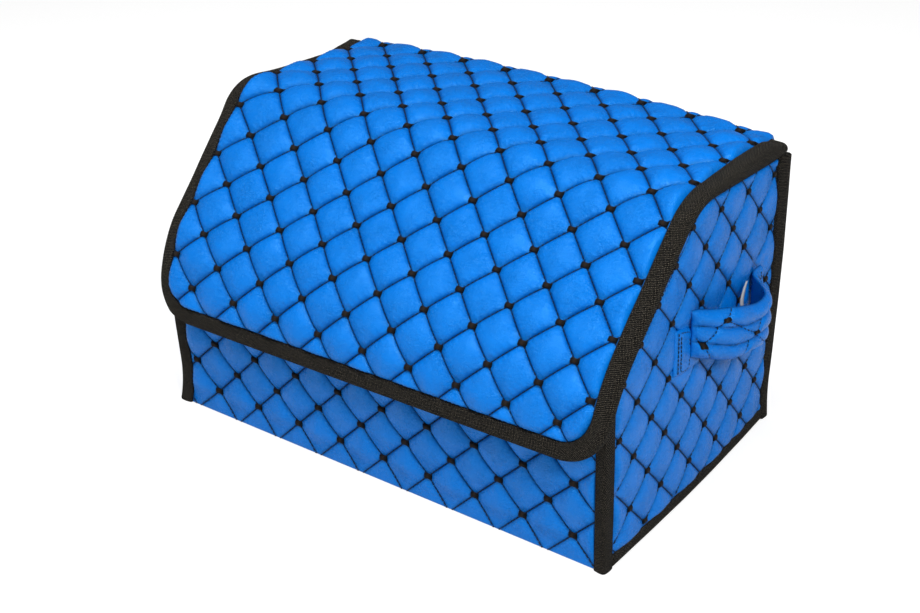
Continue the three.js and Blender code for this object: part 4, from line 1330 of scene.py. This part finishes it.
# Linings
def cloth(name, outline, place, h_top, h_back, seed):
    """Thin lining glued to its board, with slight waves."""
    step = 12.0
    pts = np.asarray(outline, float)
    lo, hi = pts.min(0), pts.max(0)
    nu, nv = (max(2, int(round((hi[k] - lo[k]) / step))) + 1 for k in (0, 1))
    gu, gv = np.meshgrid(np.linspace(lo[0], hi[0], nu), np.linspace(lo[1], hi[1], nv), indexing="ij")
    flat, faces = cut_grid(gu.ravel(), gv.ravel(), grid_quads(nu, nv), outline)
    u, v = flat[:, 0], flat[:, 1]
    inside = smooth(inside_distance(outline, u, v) / 20)
    waves = np.sin(u / 21 + seed) * np.sin(v / 27 + 2 * seed) + 0.5 * np.sin((u + v) / 13 + seed)
    a, b = place(u, v, h_top), place(u, v, h_back + 0.22 * waves * inside - 0.25 * inside)
    n = len(flat)
    edges = free_edges(faces)
    up = place(u[:1], v[:1], h_top)[0] - place(u[:1], v[:1], h_back)[0]
    f0 = a[faces[len(faces) // 2]]
    turn = np.dot(np.cross(f0[1] - f0[0], f0[2] - f0[1]), up) > 0
    all_faces = list(faces) + [[x + n for x in f][::-1] for f in faces]
    all_faces += [[q, p, p + n, q + n] for p, q in edges]
    if not turn:
        all_faces = [f[::-1] for f in all_faces]
    return add_object(name, np.vstack([a, b]), all_faces, CLOTH, np.vstack([flat, flat]))


def flat_wall(place):
    """A plain wall or floor: place gives the three coordinates of u, v and the level."""
    return lambda u, v, h: np.stack(np.broadcast_arrays(*place(u, v, np.asarray(h, float))), -1)


FLOOR_BOARD_TOP = FLOOR_COVER + GAP + BOARD + GAP
FLOOR_TOP = FLOOR_BOARD_TOP + LINING
linings = []


def glue(where, board, outline, place, h_top, h_back, seed):
    obj = cloth(f"cloth_{where}", outline, place, h_top, h_back, seed)
    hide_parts(f"lining_{board}")
    linings.append((obj, [f"board_{board}"], np.array(outline)))


side_reach = HALF_D + LINING_BACK - GAP
side_cloth = side_outline(-side_reach, side_reach, FLOOR_TOP + GAP)
for tag, sgn in (("left", -1), ("right", 1)):
    glue(tag, tag, side_cloth, flat_wall(lambda u, v, h: (sgn * (HALF_W + h), u, v)),
         LINING_TOP, LINING_BACK, 1.0 + sgn)
half_front = HALF_W + EDGE_UNDER - GAP
glue("front", "front", rect(-half_front, FLOOR_TOP + GAP, half_front, front_top),
     flat_wall(lambda u, v, h: (u, -HALF_D - h, v)), LINING_TOP, LINING_BACK, 3.0)
half_lining = HALF_W + LINING_TOP
glue("back", "back", rect(-half_lining, FLOOR_TOP + GAP, half_lining, FOLD_Z - FOLD_RADIUS - GAP),
     flat_wall(lambda u, v, h: (u, HALF_D + h, v)), LINING_TOP, LINING_BACK, 4.0)
glue("floor", "bottom", rect(-half_lining, -HALF_D - LINING_TOP, half_lining, HALF_D + LINING_TOP),
     flat_wall(lambda u, v, h: (u, v, h)), FLOOR_BOARD_TOP, FLOOR_TOP, 5.0)


def on_lid_plain(u, s, h):
    u, s, h = floats(u, s, h)
    y, z, ny, nz = (np.interp(s, SEC_LID[0], c) for c in SEC_LID[1:])
    aside, _ = lid_edge(u, s)
    return np.stack([u + aside, y + h * ny, z + h * nz], -1)


def lid_only():
    """Lid section without the roll of the fold, for the layers under the cover."""
    roll_end = 22
    s0 = np.arange(0, roll_end, 0.5)
    y0, z0 = REAR_Y - s0 * math.cos(TOP_FALL), LID_REAR_HEIGHT + s0 * math.sin(TOP_FALL)
    n = np.ones(len(s0))
    straight = (s0, y0, z0, n * math.sin(TOP_FALL), n * math.cos(TOP_FALL))
    return [np.concatenate(c) for c in zip(straight, (c[SEC[0] >= roll_end] for c in SEC))]


SEC_LID = lid_only()
lid_cloth_flat = lid_outline(INNER, LID_START)
lid_cloth = cloth("cloth_lid", lid_cloth_flat, on_lid_plain, LINING_TOP, LINING_BACK, 6.0)
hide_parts("lining_lid_top", "lining_lid_flap")

# Carried-over nodes
SHOWN = {"fold_rear": BLACK, "cover_bottom": BLUE, "closure_wall": LOOPS, "closure_flap": HOOKS}
for name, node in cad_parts.items():
    material = FIBRE if name.startswith("board") else SHOWN.get(name)
    if material is not None:
        node.data.materials.clear()
        node.data.materials.append(material)

# Bodies: the lid and fold pieces are baked in place, the box's pieces are attached to the box body
for obj in (lid, lid_tape, lid_cloth, *threads["lid"]):
    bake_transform(obj)
for obj in (strip, *threads["fold"]):
    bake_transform(obj)
for obj in (back, front, *threads["back"], *threads["front"], *box_tapes):
    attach(obj, "box")
for tag, (obj, lat, sgn) in sides.items():
    for piece in (obj, *threads[tag], *handles[tag]):
        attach(piece, "box")
for obj, _, _ in linings:
    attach(obj, "box")
linings.append((lid_cloth, ["board_lid_top", "board_lid_flap"], np.array(lid_cloth_flat)))

# Floor, light and camera
scene = bpy.context.scene


def wire(tree, *pairs):
    for a, b in pairs:
        tree.links.new(a, b)


def floor():
    """White ground: takes the shadow, and looks brighter to the camera than to the part."""
    mesh = bpy.data.meshes.new("floor")
    r = 40.0
    mesh.from_pydata([(-r, -r, 0), (r, -r, 0), (r, r, 0), (-r, r, 0)], [], [(0, 1, 2, 3)])
    obj = bpy.data.objects.new("floor", mesh)
    scene.collection.objects.link(obj)
    obj.location.z = -0.0004
    mat = bpy.data.materials.new("floor_white")
    mat.use_nodes = True
    t = mat.node_tree
    t.nodes.clear()
    out, path, diffuse, seen, add, mix = (t.nodes.new(f"ShaderNode{kind}") for kind in (
        "OutputMaterial", "LightPath", "BsdfDiffuse", "Emission", "AddShader", "MixShader"))
    diffuse.inputs["Color"].default_value = (0.62, 0.62, 0.62, 1)
    seen.inputs["Color"].default_value = (1, 1, 1, 1)
    seen.inputs["Strength"].default_value = 0.56
    wire(t, (diffuse.outputs[0], add.inputs[0]), (seen.outputs[0], add.inputs[1]),
         (path.outputs["Is Camera Ray"], mix.inputs["Fac"]), (diffuse.outputs[0], mix.inputs[1]),
         (add.outputs[0], mix.inputs[2]), (mix.outputs[0], out.inputs["Surface"]))
    mesh.materials.append(mat)


def studio():
    """White for the camera, soft light for the part, and less of it in reflections."""
    plain, less_in_gloss = 0.25, -0.16
    world = bpy.data.worlds.new("studio")
    scene.world = world
    world.use_nodes = True
    t = world.node_tree
    t.nodes.clear()
    out, soft, white, path, mix, mirrored = (t.nodes.new(f"ShaderNode{kind}") for kind in (
        "OutputWorld", "Background", "Background", "LightPath", "MixShader", "Math"))
    soft.inputs["Color"].default_value = (1, 1, 1, 1)
    white.inputs["Color"].default_value = (1, 1, 1, 1)
    white.inputs["Strength"].default_value = 1.0
    mirrored.operation = "MULTIPLY_ADD"
    mirrored.inputs[1].default_value = less_in_gloss
    mirrored.inputs[2].default_value = plain
    wire(t, (path.outputs["Is Glossy Ray"], mirrored.inputs[0]),
         (mirrored.outputs[0], soft.inputs["Strength"]),
         (path.outputs["Is Camera Ray"], mix.inputs["Fac"]), (soft.outputs[0], mix.inputs[1]),
         (white.outputs[0], mix.inputs[2]), (mix.outputs[0], out.inputs["Surface"]))


def area_light(name, location, target, size, power):
    light = bpy.data.lights.new(name, "AREA")
    light.shape = "RECTANGLE"
    light.size, light.size_y = size
    light.energy = power
    obj = bpy.data.objects.new(name, light)
    scene.collection.objects.link(obj)
    obj.location = location
    obj.rotation_mode = "QUATERNION"
    obj.rotation_quaternion = (Vector(target) - Vector(location)).to_track_quat("-Z", "Y")


floor()
studio()
area_light("key", (1.5, -0.75, 1.75), (0, 0, 0.15), (0.7, 0.7), 38)
area_light("fill", (-0.5, -2.2, 1.3), (0, 0, 0.15), (1.6, 1.0), 12)
area_light("top", (-0.2, -0.45, 2.35), (0, 0, 0.2), (0.9, 0.7), 24)
area_light("glint", (-1.14, -1.0, 1.75), (0, -0.05, 0.2), (0.34, 0.26), 3)

# Camera as calibrated on the photo: focal length in its pixels, angles in degrees, place in mm
PHOTO_WIDTH, PHOTO_FOCAL, SENSOR = 920.0, 1620.0, 36.0
YAW, TILT, ROLL = (math.radians(x) for x in (36.7498, 29.5415, -1.6192))
PLACE = Vector((824.2028, -1109.846, 900.900))
cam_data = bpy.data.cameras.new("photo_camera")
cam_data.sensor_width = SENSOR
cam_data.sensor_fit = "HORIZONTAL"
cam_data.lens = PHOTO_FOCAL / PHOTO_WIDTH * SENSOR
cam_data.shift_x, cam_data.shift_y = -0.0014, 0.0016
cam_data.clip_start, cam_data.clip_end = 0.05, 60.0
cam = bpy.data.objects.new("photo_camera", cam_data)
scene.collection.objects.link(cam)
fwd = Vector((-math.sin(YAW) * math.cos(TILT), math.cos(YAW) * math.cos(TILT), -math.sin(TILT)))
level = fwd.cross(Vector((0, 0, 1))).normalized()
upright = level.cross(fwd)
right = math.cos(ROLL) * level + math.sin(ROLL) * upright
up = -math.sin(ROLL) * level + math.cos(ROLL) * upright
m = Matrix((right, up, -fwd)).transposed().to_4x4()
m.translation = PLACE * 0.001
cam.matrix_world = m
scene.camera = cam
scene.view_settings.view_transform = "Standard"
